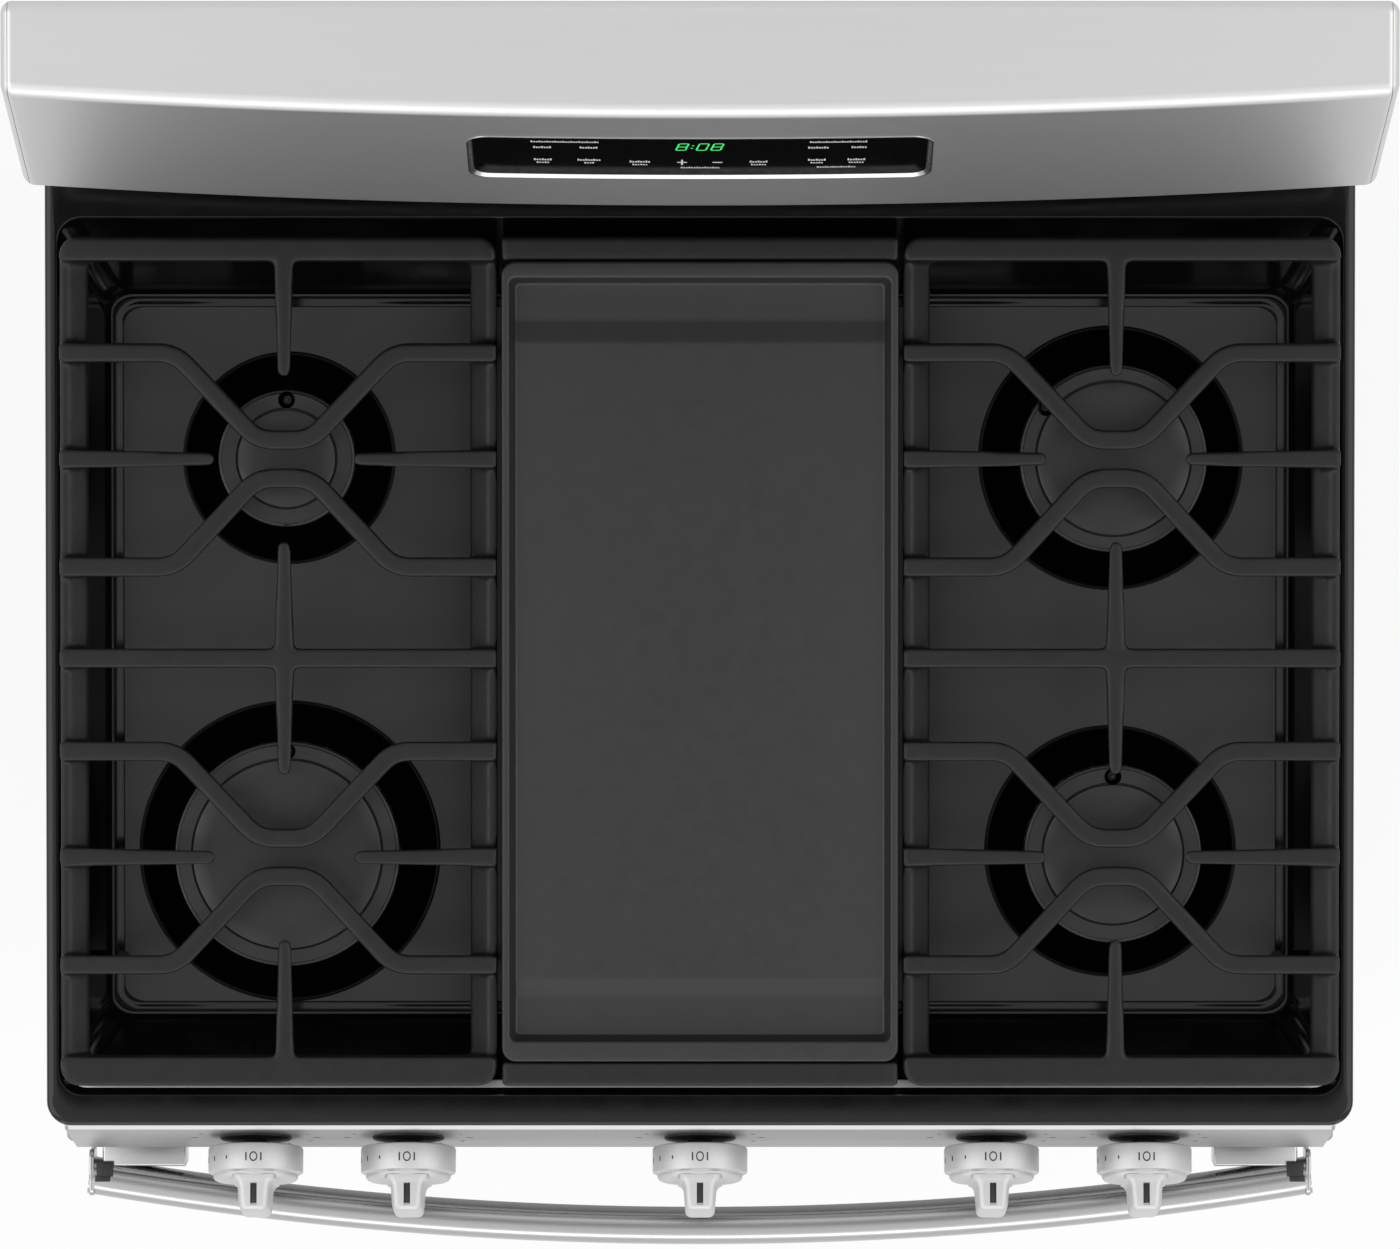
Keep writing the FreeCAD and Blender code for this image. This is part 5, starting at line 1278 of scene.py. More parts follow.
    def centre(self) -> bpy.types.Object:
        """The open frame under the griddle: a bar at each end, two rails and four legs.

        Returns:
            The frame.
        """
        half, rail_top = self.frame_half, self.frame_rail_top
        rail_low = rail_top - (self.rail_top - self.rail_low)
        pieces = []
        for label, y in (("front", (self.front_y, self.front_y + self.frame_bar)),
                         ("back", (self.back_y - self.frame_bar, self.back_y))):
            bar = slab(f"frame_{label}", (-half, half), y, (rail_low + 6 * MM, self.top))
            pieces.append(soften(bar, 1.6 * MM, 3))
        for side in Side:
            x = sorted_span(side.value * (half - self.frame_rail), side.value * half)
            rail = slab(f"frame_rail_{side.value}", x, (self.front_y + 8 * MM, self.back_y - 8 * MM),
                        (rail_low, rail_top))
            pieces.append(rail)
            for y in self.leg_rows():
                pieces.append(turned(f"frame_leg_{side.value}", (side.value * (half - self.leg / 2), y), (
                    (0.34 * self.leg, self.foot_z), (0.42 * self.leg, self.foot_z + MM),
                    (0.49 * self.leg, rail_top - MM)), 20))
        return self.cast("grate_centre_casting", pieces)

    def build(self) -> None:
        """Make the castings and dress them."""
        iron = GRATE_IRON.build()
        for side in Side:
            name = side.name.lower()
            dress(self.side(side), iron, f"grate_{name}_body", [f"grate_{name}"])
        dress(self.centre(), iron, "grate_centre_body", ["grate_centre"])


@dataclass
class Griddle:
    """The cast plate: a raised rim, a shallow cooking floor and a trough at each end."""

    corner: float = 8 * MM
    wall: float = 4.4 * MM
    wall_back: float = 9.5 * MM
    wall_front: float = 11.6 * MM
    draft: float = 3 * MM
    recess: float = 8.5 * MM
    trough: float = 3.5 * MM
    slope_back: Span = (176.3 * MM, 189.5 * MM)
    slope_front: Span = (-202.3 * MM, -190.8 * MM)
    edge: float = 1.5 * MM

    def plate(self) -> bpy.types.Object:
        """Draw the rim in, sink the floor, then cut the floor across and drop its ends.

        Returns:
            The plate.
        """
        low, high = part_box("griddle")
        plate = round_upright(slab("griddle_plate", (low.x, high.x), (low.y, high.y), (low.z, high.z)),
                              self.corner, 8)
        choose(plate, "FACE", lambda centre, normal: normal.z > 0.9)
        bpy.ops.mesh.inset(thickness=self.wall)
        front, back = low.y + self.wall_front, high.y - self.wall_back
        wide = high.x - self.wall
        reach = (back - front) / (high.y - low.y - 2 * self.wall)
        middle = (front + back) / 2
        bpy.ops.transform.translate(value=(0, middle - (low.y + high.y) / 2, 0))
        bpy.ops.transform.resize(value=(1, reach, 1), center_override=(0, middle, high.z))
        bpy.ops.mesh.extrude_region_move(TRANSFORM_OT_translate={"value": (0, 0, -self.recess)})
        bpy.ops.transform.resize(value=((wide - self.draft) / wide, 1 - 2 * self.draft / (back - front), 1),
                                 center_override=(0, middle, high.z))
        bpy.ops.object.mode_set(mode="OBJECT")
        floor_z = high.z - self.recess

        def on_floor(centre: Vector, normal: Vector) -> bool:
            """Faces of the cooking floor."""
            return abs(centre.z - floor_z) < 0.1 * MM and normal.z > 0.9

        for y in (*self.slope_back, *self.slope_front):
            choose(plate, "FACE", on_floor)
            bpy.ops.mesh.bisect(plane_co=(0, y, 0), plane_no=(0, 1, 0))
            bpy.ops.object.mode_set(mode="OBJECT")
        choose(plate, "FACE", lambda centre, normal: on_floor(centre, normal)
               and (centre.y > self.slope_back[1] or centre.y < self.slope_front[0]))
        bpy.ops.transform.translate(value=(0, 0, -self.trough))
        finish_edit(plate)
        return soften(plate, self.edge, 4, 12)

    def build(self) -> None:
        """Make the plate and dress it."""
        dress(self.plate(), GRIDDLE_COAT.build(), "griddle_body", ["griddle"])


# ---- Knob panel and knobs ------------------------------------------------------------

@dataclass
class KnobPanel:
    """The slanted steel panel, its five holes and the marks round them."""

    lean: float = 11.8
    top_edge: float = 5 * MM
    end_edge: float = 2 * MM
    # Width of the painted highlight strip along the panel's top edge.
    trim_wide: float = 3 * MM
    steel: float = 1.5 * MM
    hole: float = 9 * MM
    knob_z: float = 850 * MM
    knob_x: tuple[float, ...] = mm(-260.5, -171, 0, 171, 260.5)
    mark_ring: float = 36 * MM
    mark: tuple[float, float, float] = mm(2.4, 0.9, 0.12)

    def knob_frame(self, x: float) -> Matrix:
        """The frame on the panel's face at one knob.

        Args:
            x: The knob's place across.

        Returns:
            Its matrix, Z straight out of the panel.
        """
        low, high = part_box("control_panel")
        face_y = low.y + (self.knob_z - low.z) * math.tan(math.radians(self.lean))
        return face_frame(Vector((x, face_y, self.knob_z)), self.lean)

    def panel(self) -> bpy.types.Object:
        """Lean a block's face, leave its back open and give it the sheet's thickness.

        Returns:
            The panel.
        """
        low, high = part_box("control_panel")
        top_y = low.y + (high.z - low.z) * math.tan(math.radians(self.lean))
        panel = slab("control_panel_pressing", (low.x, high.x), (top_y, high.y), (low.z, high.z))
        choose(panel, "EDGE", lambda middle, way: middle.y < top_y + MM and middle.z < low.z + MM
               and abs(way.x) > 0.9)
        bpy.ops.transform.translate(value=(0, low.y - top_y, 0))
        finish_edit(panel)
        choose(panel, "EDGE", lambda middle, way: abs(way.x) > 0.9 and middle.z > high.z - MM
               and middle.y < top_y + MM)
        bpy.ops.mesh.bevel(offset=self.top_edge, segments=8, affect="EDGES")
        finish_edit(panel)
        choose(panel, "FACE", lambda centre, normal: normal.y > 0.95)
        bpy.ops.mesh.delete(type="FACE")
        finish_edit(panel)
        modify(panel, "SOLIDIFY", thickness=self.steel, offset=-1)
        soften(panel, 0.6 * MM, 2, 50)
        cutters = []
        for x in self.knob_x:
            cutter = turned("panel_hole", (0, 0), ((self.hole, -8 * MM), (self.hole, 8 * MM)), 64)
            cutters.append(place(cutter, self.knob_frame(x)))
        return smooth(carve(panel, cutters), 35)

    def trim(self) -> bpy.types.Object:
        """A chamfered strip along the panel's top edge in near-white steel: a painted highlight for the rolled edge's
        bright line.

        Returns:
            The strip.
        """
        low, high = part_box("control_panel")
        top_y = low.y + (high.z - low.z) * math.tan(math.radians(self.lean))
        wide = self.trim_wide
        strip = slab("panel_trim", (low.x + self.end_edge, high.x - self.end_edge),
                     (top_y - 0.8 * MM, top_y + 2 * wide), (high.z - 2 * wide, high.z))
        choose(strip, "EDGE", lambda middle, way: abs(way.x) > 0.9 and middle.z > high.z - MM and middle.y < top_y)
        bpy.ops.mesh.bevel(offset=wide, segments=1, affect="EDGES")
        return soften(finish_edit(strip), 0.4 * MM, 3)

    def marks(self) -> bpy.types.Object:
        """Short printed bars round each knob, from the off place to full turn.

        Returns:
            All the marks as one piece.
        """
        wide, high, thick = self.mark
        made = []
        for number, x in enumerate(self.knob_x):
            for step in range(9):
                angle = math.radians(-60 + 30 * step)
                long = wide * (1.6 if step in (2, 8) else 1.0)
                bar = slab(f"mark_{number}_{step}", (-long / 2, long / 2), (-high / 2, high / 2), (-0.05 * MM, thick))
                spot = Matrix.Translation((math.cos(angle) * self.mark_ring, math.sin(angle) * self.mark_ring, 0))
                made.append(place(bar, self.knob_frame(x) @ spot @ Matrix.Rotation(angle, 4, "Z")))
        return soften(join("panel_marks", made), 0.03 * MM, 1, 30)

    def build(self) -> None:
        """Make the panel and its marks and dress them."""
        # The panel's steel is painted a shade darker, as painted shade.
        dress(self.panel(), SHADED_FRONT_STEEL.build(), "cabinet", ["control_panel"])
        # The near-white strip is a painted highlight along the panel's top edge.
        dress(self.trim(), HIGHLIGHT_STEEL.build(), "cabinet")
        dress(self.marks(), DARK_PRINT.build(), "cabinet")


@dataclass
class Knobs:
    """Five plated knobs: a skirt, a stepped tier and a tall grip with an inlaid pointer."""

    skirt: float = 27.85 * MM
    tier: float = 25 * MM
    lift: float = 5.5 * MM
    skirt_top: float = 21.5 * MM
    tier_top: float = 26.5 * MM
    top: float = 45 * MM
    grip_half: float = 9.4 * MM
    grip_long: float = 24 * MM
    collar: float = 7.4 * MM
    # Radius of the dark disc that paints the knob's shadow and reflection on the panel.
    seal: float = 21 * MM
    pointer_half: float = 1.9 * MM
    pointer_deep: float = 13 * MM
    mark_step: float = 22.0

    def body(self) -> bpy.types.Object:
        """The turned skirt and tier.

        Returns:
            The body.
        """
        skirt, tier = self.skirt, self.tier
        return smooth(turned("knob_body", (0, 0), (
            (self.collar, self.lift + 0.6 * MM), (skirt - 3 * MM, self.lift + 0.3 * MM),
            (skirt - 2.0 * MM, self.lift), (skirt - 0.6 * MM, self.lift + 0.5 * MM), (skirt, self.lift + 1.8 * MM),
            (skirt - 0.1 * MM, self.skirt_top - 1.5 * MM), (skirt - 0.4 * MM, self.skirt_top - 0.6 * MM),
            (skirt - 1.4 * MM, self.skirt_top), (tier + 0.3 * MM, self.skirt_top + 0.1 * MM),
            (tier - 0.2 * MM, self.skirt_top + 0.5 * MM), (tier - 0.1 * MM, self.skirt_top + 1.4 * MM),
            (tier - 0.3 * MM, self.tier_top - 2.6 * MM), (tier - 1.2 * MM, self.tier_top - 1.3 * MM),
            (tier - 3.0 * MM, self.tier_top - 0.5 * MM), (tier - 8 * MM, self.tier_top + 0.2 * MM),
            (8 * MM, self.tier_top + 0.4 * MM), (1 * MM, self.tier_top + 0.4 * MM),
        ), 128), 32)

    def grip(self) -> bpy.types.Object:
        """The grip: a tall rounded block that flares where it meets the tier.

        Returns:
            The grip, with the pointer's groove cut in its upper end.
        """
        half, long = self.grip_half, self.grip_long
        grip = slab("knob_grip", (-half, half), (-long, long), (self.tier_top + 6 * MM, self.top))
        choose(grip, "FACE", lambda centre, normal: normal.z > 0.9)
        bpy.ops.transform.resize(value=(0.9, 0.95, 1), center_override=(0, 0, self.top))
        finish_edit(grip)
        choose(grip, "EDGE", lambda middle, way: abs(way.z) > 0.9)
        bpy.ops.mesh.bevel(offset=4.2 * MM, segments=8, affect="EDGES")
        finish_edit(grip)
        choose(grip, "FACE", lambda centre, normal: normal.z < -0.9)
        foot = self.tier_top + 6 * MM
        widths = (half, half + 0.3 * MM, half + 1.0 * MM, half + 2.2 * MM, half + 3.6 * MM)
        drops = (2.6 * MM, 1.7 * MM, 1.1 * MM, 0.6 * MM)
        for before, after, drop in zip(widths, widths[1:], drops):
            bpy.ops.mesh.extrude_region_move(TRANSFORM_OT_translate={"value": (0, 0, -drop)})
            foot -= drop
            grow = after - before
            stretch = min((long + grow * 0.3) / long, (self.tier - 0.8 * MM) / long)
            bpy.ops.transform.resize(value=(after / before, stretch, 1),
                                     center_override=(0, 0, foot))
        bpy.ops.mesh.extrude_region_move(TRANSFORM_OT_translate={"value": (0, 0, -2.4 * MM)})
        finish_edit(grip)
        choose(grip, "EDGE", lambda middle, way: middle.z > self.top - 0.1 * MM and abs(way.z) < 0.1)
        bpy.ops.mesh.bevel(offset=3.2 * MM, segments=6, affect="EDGES")
        finish_edit(grip)
        groove = slab("pointer_groove", (-self.pointer_half, self.pointer_half), (long - 2.6 * MM, long + 4 * MM),
                      (self.top - 3 * MM - self.pointer_deep, self.top - 3 * MM))
        return smooth(carve(grip, [groove]), 32)

    def pointer(self) -> bpy.types.Object:
        """The dark inlay at the bottom of the groove."""
        inset = self.pointer_half - 0.15 * MM
        return soften(slab("knob_pointer", (-inset, inset), (self.grip_long - 6 * MM, self.grip_long - 2.0 * MM),
                           (self.top - 2.8 * MM - self.pointer_deep, self.top - 4.4 * MM)), 0.3 * MM, 2)

    def sleeve(self) -> bpy.types.Object:
        """The dark ribbed collar between the panel and the skirt.

        Returns:
            The collar.
        """
        low = -3 * MM
        ribs = [(self.collar - 1 * MM, low)]
        for rib in range(4):
            z = low + 2 * rib * MM
            ribs += [(self.collar, z + 0.2 * MM), (self.collar, z + 1.2 * MM), (self.collar - 0.8 * MM, z + 1.5 * MM),
                     (self.collar - 0.8 * MM, z + 1.9 * MM)]
        return smooth(turned("knob_sleeve", (0, 0), ribs, 48), 30)

    def seal_disc(self) -> bpy.types.Object:
        """A dark disc on the panel round the collar: painted shadow and painted reflection of the knob."""
        bore = self.collar + 0.5 * MM
        disc = turned("knob_seal", (0, 0), (
            (self.seal, 0.1 * MM), (self.seal, 0.7 * MM), (self.seal - MM, 1.4 * MM), (bore + 5 * MM, 2.4 * MM),
            (bore - MM, 2.5 * MM)), 64)
        hole = turned("seal_bore", (0, 0), ((bore, -MM), (bore, 5 * MM)), 48)
        return smooth(carve(disc, [hole]), 30)

    def dial(self) -> bpy.types.Object:
        """Printed marks on the skirt: a ring for off, and bars that grow with the flame.

        Returns:
            All the marks as one piece.
        """
        made = []
        middle = (self.lift + self.skirt_top) / 2 + 0.5 * MM
        radius = self.skirt - 0.06 * MM
        deselect_all()
        bpy.ops.mesh.primitive_torus_add(major_radius=2.5 * MM, minor_radius=0.42 * MM,
                                         major_segments=32, minor_segments=8)
        ring = settle("dial_off")
        ring.data.transform(Matrix.Diagonal((0.8, 1.0, 0.5, 1)))
        upright = Matrix.Translation((0, radius, middle)) @ Matrix.Rotation(math.radians(-90), 4, "X")
        made.append(place(ring, upright))
        for side in (-1, 1):
            stop = slab(f"dial_stop_{side}", (-0.42 * MM, 0.42 * MM), (radius - 0.1 * MM, radius + 0.2 * MM),
                        (middle - 2.4 * MM, middle + 2.4 * MM))
            made.append(place(soften(stop, 0.08 * MM, 2), Matrix.Rotation(math.radians(9 * side), 4, "Z")))
        for step in range(1, 6):
            long = (1.2 + 0.8 * step) * MM
            bar = slab(f"dial_{step}", (-0.4 * MM, 0.4 * MM), (radius - 0.1 * MM, radius + 0.2 * MM),
                       (middle - long / 2, middle + long / 2))
            turn = Matrix.Rotation(math.radians(self.mark_step * (step + 0.6)), 4, "Z")
            made.append(place(soften(bar, 0.08 * MM, 2), turn))
        return join("knob_dial", made)

    def build(self, panel: KnobPanel) -> None:
        """Model one knob and copy it to all five stems.

        Args:
            panel: The panel that gives each knob's frame.
        """
        shell = smooth(join("knob_shell", [self.body(), self.grip()]), 32)
        # The dark disc at each knob is a painted shadow and painted reflection of the knob.
        seal = self.seal_disc()
        for number, x in enumerate(panel.knob_x, 1):
            copy = copy_of(seal, f"knob_{number}_seal", panel.knob_frame(x))
            dress(copy, COLLAR_AND_SHADE_BLACK.build(), "cabinet")
        bpy.data.objects.remove(seal)
        pieces = ((shell, KNOB_STEEL, "knob_{}_shell", True), (self.pointer(), DARK_PRINT, "knob_{}_pointer", False),
                  (self.sleeve(), COLLAR_AND_SHADE_BLACK, "knob_{}_sleeve", False), (self.dial(), DARK_PRINT, "knob_{}_dial", False))
        for piece, finish, label, stands_for in pieces:
            for number, x in enumerate(panel.knob_x, 1):
                copy = copy_of(piece, label.format(number), panel.knob_frame(x))
                dress(copy, finish.build(), f"knob_{number}_body",
                      [f"knob_{number}"] if stands_for else ())
            bpy.data.objects.remove(piece)


# ---- Backguard -------------------------------------------------------------------------

@dataclass
class Console:
    """The bowed steel console with its sunk touch glass, clock and legends."""

    lean: float = 17.0
    bow: float = 6000 * MM
    front_edge: float = 6.5 * MM
    joint: float = 0.15 * MM
    glass_corner: float = 9 * MM
    bezel: float = 3.2 * MM
    bezel_out: float = 0.4 * MM
    sink: float = 1.2 * MM
    digit: tuple[float, float, float] = mm(5.2, 11.0, 0.95)
    digit_pitch: float = 8.0 * MM
    slant: float = 0.18
    clock: Span = mm(-0.5, 16.9)
    print_thick: float = 0.1 * MM

    def cone(self, name: str, low: float, high: float) -> bpy.types.Object:
        """The very wide cone whose side is the console's face.

        Args:
            name: The cone's name.
            low: Bottom Z.
            high: Top Z.

        Returns:
            The cone.
        """
        slope = math.tan(math.radians(self.lean))
        over = 5 * MM
        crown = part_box("console_shell")[0].y + (high - low) * slope
        deselect_all()
        bpy.ops.mesh.primitive_cone_add(
            vertices=1850, radius1=self.bow + (high - low + over) * slope, radius2=self.bow - over * slope,
            depth=high - low + 2 * over, location=(0, crown + self.bow, (low + high) / 2))
        return settle(name)

    def pressing(self, name: str, low_x: float, high_x: float) -> bpy.types.Object:
        """A length of the console: what a block shares with the cone, edges rolled, cut at both ends.

        Args:
            name: The piece's name.
            low_x: Its left end.
            high_x: Its right end.

        Returns:
            The length.
        """
        low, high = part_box("console_shell")
        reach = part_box("console_end_caps")[1].x
        piece = slab(name, (-reach, reach), (low.y - 10 * MM, high.y), (low.z, high.z))
        carve(piece, [self.cone(f"{name}_cone", low.z, high.z)], "INTERSECT")
        modify(piece, "BEVEL", width=self.front_edge, segments=8, limit_method="ANGLE",
               angle_limit=math.radians(50), use_clamp_overlap=False)
        keep = slab(f"{name}_keep", (low_x, high_x), (low.y - 20 * MM, high.y + 10 * MM),
                    (low.z - 10 * MM, high.z + 10 * MM))
        return carve(piece, [keep], "INTERSECT")

    def shell(self) -> bpy.types.Object:
        """The long middle, with the pocket for the glass.

        Returns:
            The shell.
        """
        low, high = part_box("console_shell")
        shell = self.pressing("console_pressing", low.x + self.joint, high.x - self.joint)
        pocket = slab("glass_pocket", *self.glass_box(self.bezel - 0.2 * MM)[:2], (-12 * MM, 12 * MM))
        round_upright(pocket, self.glass_corner + self.bezel, 10)
        return weigh(smooth(carve(shell, [place(pocket, self.frame())]), 30))

    def end_caps(self) -> list[bpy.types.Object]:
        """The moulded cap at each end, of the same shape.

        Returns:
            Both caps.
        """
        shell_low, shell_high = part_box("console_shell")
        beyond = 20 * MM
        return [self.pressing("console_cap_left", shell_low.x - beyond, shell_low.x - self.joint),
                self.pressing("console_cap_right", shell_high.x + self.joint, shell_high.x + beyond)]

    def frame(self) -> Matrix:
        """The frame on the face at the middle of the glass."""
        low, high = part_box("touch_glass")
        lean = math.radians(self.lean)
        out = Vector((0, -math.cos(lean), math.sin(lean)))
        return face_frame((low + high) / 2 + out * 3.6 * MM, self.lean)

    def glass_box(self, grow: float = 0.0) -> tuple[Span, Span, Span]:
        """The glass's spans in its own frame, grown by a margin."""
        low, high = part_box("touch_glass")
        half_wide = (high.x - low.x) / 2 + grow
        half_high = (high.z - low.z) / 2 / math.cos(math.radians(self.lean)) - 0.6 * MM + grow
        return (-half_wide, half_wide), (-half_high, half_high), (-self.sink - 3 * MM, -self.sink)

    def follow_bow(self, piece: bpy.types.Object) -> bpy.types.Object:
        """Bend a flat piece back towards its ends, as the face is bowed.

        Args:
            piece: A piece in the glass's frame.

        Returns:
            The same object.
        """
        for vertex in piece.data.vertices:
            vertex.co.z -= vertex.co.x ** 2 / (2 * self.bow)
        piece.data.update()
        return piece

    def sliced(self, piece: bpy.types.Object, cuts: int = 16) -> bpy.types.Object:
        """Cut a long piece across at even steps so that it can bend.

        Args:
            piece: A piece in the glass's frame.
            cuts: Number of cuts.

        Returns:
            The same object.
        """
        reach = max(vertex.co.x for vertex in piece.data.vertices)
        for step in range(1, cuts):
            activate(piece)
            bpy.ops.object.mode_set(mode="EDIT")
            bpy.ops.mesh.select_all(action="SELECT")
            bpy.ops.mesh.bisect(plane_co=(-reach + 2 * reach * step / cuts, 0, 0), plane_no=(1, 0, 0))
            bpy.ops.object.mode_set(mode="OBJECT")
        return piece

    def surround(self) -> bpy.types.Object:
        """The polished frame that slopes down to the glass.

        Returns:
            The frame.
        """
        x, y, _ = self.glass_box(self.bezel)
        frame_piece = slab("glass_surround", x, y, (-self.sink - 4 * MM, self.bezel_out))
        round_upright(frame_piece, self.glass_corner + self.bezel, 10)
        choose(frame_piece, "FACE", lambda centre, normal: normal.z > 0.9)
        bpy.ops.mesh.inset(thickness=self.bezel * 0.35)
        bpy.ops.mesh.inset(thickness=self.bezel * 0.6, depth=-self.sink - self.bezel_out - 0.5 * MM)
        finish_edit(frame_piece)
        return soften(self.follow_bow(self.sliced(frame_piece)), 0.3 * MM, 2, 40)

    def glass(self) -> bpy.types.Object:
        """The dark touch glass."""
        glass = round_upright(slab("touch_glass_pane", *self.glass_box(-0.1 * MM)), self.glass_corner, 10)
        return soften(self.follow_bow(self.sliced(glass)), 0.3 * MM, 2, 40)

    def segment(self) -> bpy.types.Object:
        """One lit bar of the clock, pointed at both ends.

        Returns:
            The bar, lying along X.
        """
        wide, high, stroke = self.digit
        bar = slab("clock_bar", (-wide / 2 + 0.15 * MM, wide / 2 - 0.15 * MM), (-stroke / 2, stroke / 2),
                   (0, self.print_thick))
        choose(bar, "EDGE", lambda middle, way: abs(way.z) > 0.9)
        bpy.ops.mesh.bevel(offset=stroke * 0.42, segments=1, affect="EDGES")
        return finish_edit(bar)

    def clock_face(self) -> bpy.types.Object:
        """Three digits and a colon, built from copies of one bar.

        Returns:
            The lit bars as one piece.
        """
        wide, high, stroke = self.digit
        bar = self.segment()
        upright = Matrix.Rotation(math.radians(90), 4, "Z") @ Matrix.Diagonal((high / 2 / wide, 1, 1, 1))
        flat = Matrix.Identity(4)
        spots = {
            "top": ((0, high / 2), flat), "middle": ((0, 0), flat), "bottom": ((0, -high / 2), flat),
            "top_left": ((-wide / 2, high / 4), upright), "top_right": ((wide / 2, high / 4), upright),
            "low_left": ((-wide / 2, -high / 4), upright), "low_right": ((wide / 2, -high / 4), upright),
        }
        shapes = {8: tuple(spots), 0: tuple(name for name in spots if name != "middle")}
        shear = Matrix.Identity(4)
        shear[0][1] = self.slant
        made = []
        for digit, along in ((8, -1.15), (0, 0.25), (8, 1.25)):
            for name in shapes[digit]:
                (x, y), turn = spots[name]
                matrix = Matrix.Translation((along * self.digit_pitch, 0, 0)) @ shear @ Matrix.Translation((x, y, 0)) @ turn
                made.append(copy_of(bar, f"clock_{along}_{name}", matrix))
        for y in (-high / 5, high / 5):
            dot = Matrix.Translation((-0.45 * self.digit_pitch, 0, 0)) @ shear @ Matrix.Translation((0, y, 0))
            made.append(copy_of(bar, f"clock_dot_{y}", dot @ Matrix.Diagonal((0.25, 1, 1, 1))))
        bpy.data.objects.remove(bar)
        face = join("clock_bars", made)
        return place(face, Matrix.Translation((self.clock[0], self.clock[1], -self.sink)))

    def legend(self, middle: Span, marks: int, high: float) -> list[bpy.types.Object]:
        """A plain printed legend: a row of short bars in place of words.

        Args:
            middle: Its place on the glass.
            marks: Number of bars.
            high: Height of the taller bars.

        Returns:
            The bars.
        """
        pitch = 1.45 * MM
        bars = []
        for mark in range(marks):
            x = middle[0] + (mark - (marks - 1) / 2) * pitch
            tall = high if mark % 3 == 0 else high * 0.7
            bars.append(slab("legend_bar", (x - pitch * 0.34, x + pitch * 0.34),
                             (middle[1] - high / 2, middle[1] - high / 2 + tall),
                             (-self.sink, -self.sink + self.print_thick)))
        return bars

    def legends(self) -> bpy.types.Object:
        """All the legends and the plus and minus keys.

        Returns:
            One piece.
        """
        headings = ((-74.2, 24.6, 26), (75.9, 24.6, 22))
        keys = ((-86.7, 15.1, 7), (-61.2, 15.1, 7), (65.0, 15.1, 8), (87.3, 15.1, 6), (-86.7, -6.0, 7),
                (-61.2, -6.0, 9), (-33.2, -8.5, 8), (32.3, -8.5, 7), (64.4, -6.0, 7), (86.2, -6.0, 7))
        small = ((-86.7, -11.0, 5), (-61.2, -11.0, 4), (-33.2, -13.5, 6), (32.3, -13.5, 6), (64.4, -11.0, 5),
                 (86.2, -11.0, 6), (75.2, -18.6, 15), (0.0, -18.6, 15))
        bars = []
        for rows, high in ((headings, 2.6), (keys, 3.0), (small, 2.2)):
            for x, y, marks in rows:
                bars += self.legend(mm(x, y), marks, high * MM)
        z = (-self.sink, -self.sink + self.print_thick)
        for x in mm(-9.9, 9.6):
            bars.append(slab("key_bar", (x - 2.7 * MM, x + 2.7 * MM), mm(-10.2, -9.0), z))
        bars.append(slab("key_cross", mm(-10.4, -9.4), mm(-14.0, -5.2), z))
        return self.follow_bow(join("glass_legends", bars))

    def build(self) -> None:
        """Make the console's pieces and dress them."""
        steel = STAINLESS.build()
        dress(self.shell(), steel, "cabinet", ["console_shell"])
        caps = join("console_end_mouldings", self.end_caps())
        dress(weigh(smooth(caps, 30)), steel, "cabinet", ["console_end_caps"])
        for piece, finish, slot, stands_for in (
                (self.surround(), HANDLE_STEEL, "stainless", ()), (self.glass(), TOUCH_GLASS, "touch_panel", ["touch_glass"]),
                (self.clock_face(), GREEN_LIGHT, "touch_panel", ()), (self.legends(), WHITE_PRINT, "touch_panel", ())):
            dress(place(piece, self.frame()), finish.build(), "cabinet", stands_for)


@dataclass
class Riser:
    """The painted box that carries the console, with vent slots low on its front."""

    edge: float = 1.5 * MM
    slot_half: float = 24 * MM
    slot_pitch: float = 60 * MM
    slot_count: int = 6
    slot_z: Span = (912 * MM, 922 * MM)

    def build(self) -> None:
        """Make the box, cut its slots and dress it."""
        low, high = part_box("backguard_riser")
        box = slab("backguard_box", (low.x, high.x), (low.y, high.y), (low.z, high.z))
        soften(box, self.edge, 3)
        cutters = []
        for number in range(self.slot_count):
            x = (number - (self.slot_count - 1) / 2) * self.slot_pitch
            slot = slab(f"vent_{number}", (x - self.slot_half, x + self.slot_half),
                        (low.y - 10 * MM, low.y + 12 * MM), self.slot_z)
            choose(slot, "EDGE", lambda middle, way: abs(way.y) > 0.9)
            bpy.ops.mesh.bevel(offset=4.9 * MM, segments=6, affect="EDGES")
            cutters.append(finish_edit(slot))
        dress(smooth(carve(box, cutters), 30), BLACK_PAINT.build(), "cabinet", ["backguard_riser"])


# ---- Door, handle and drawer -----------------------------------------------------------

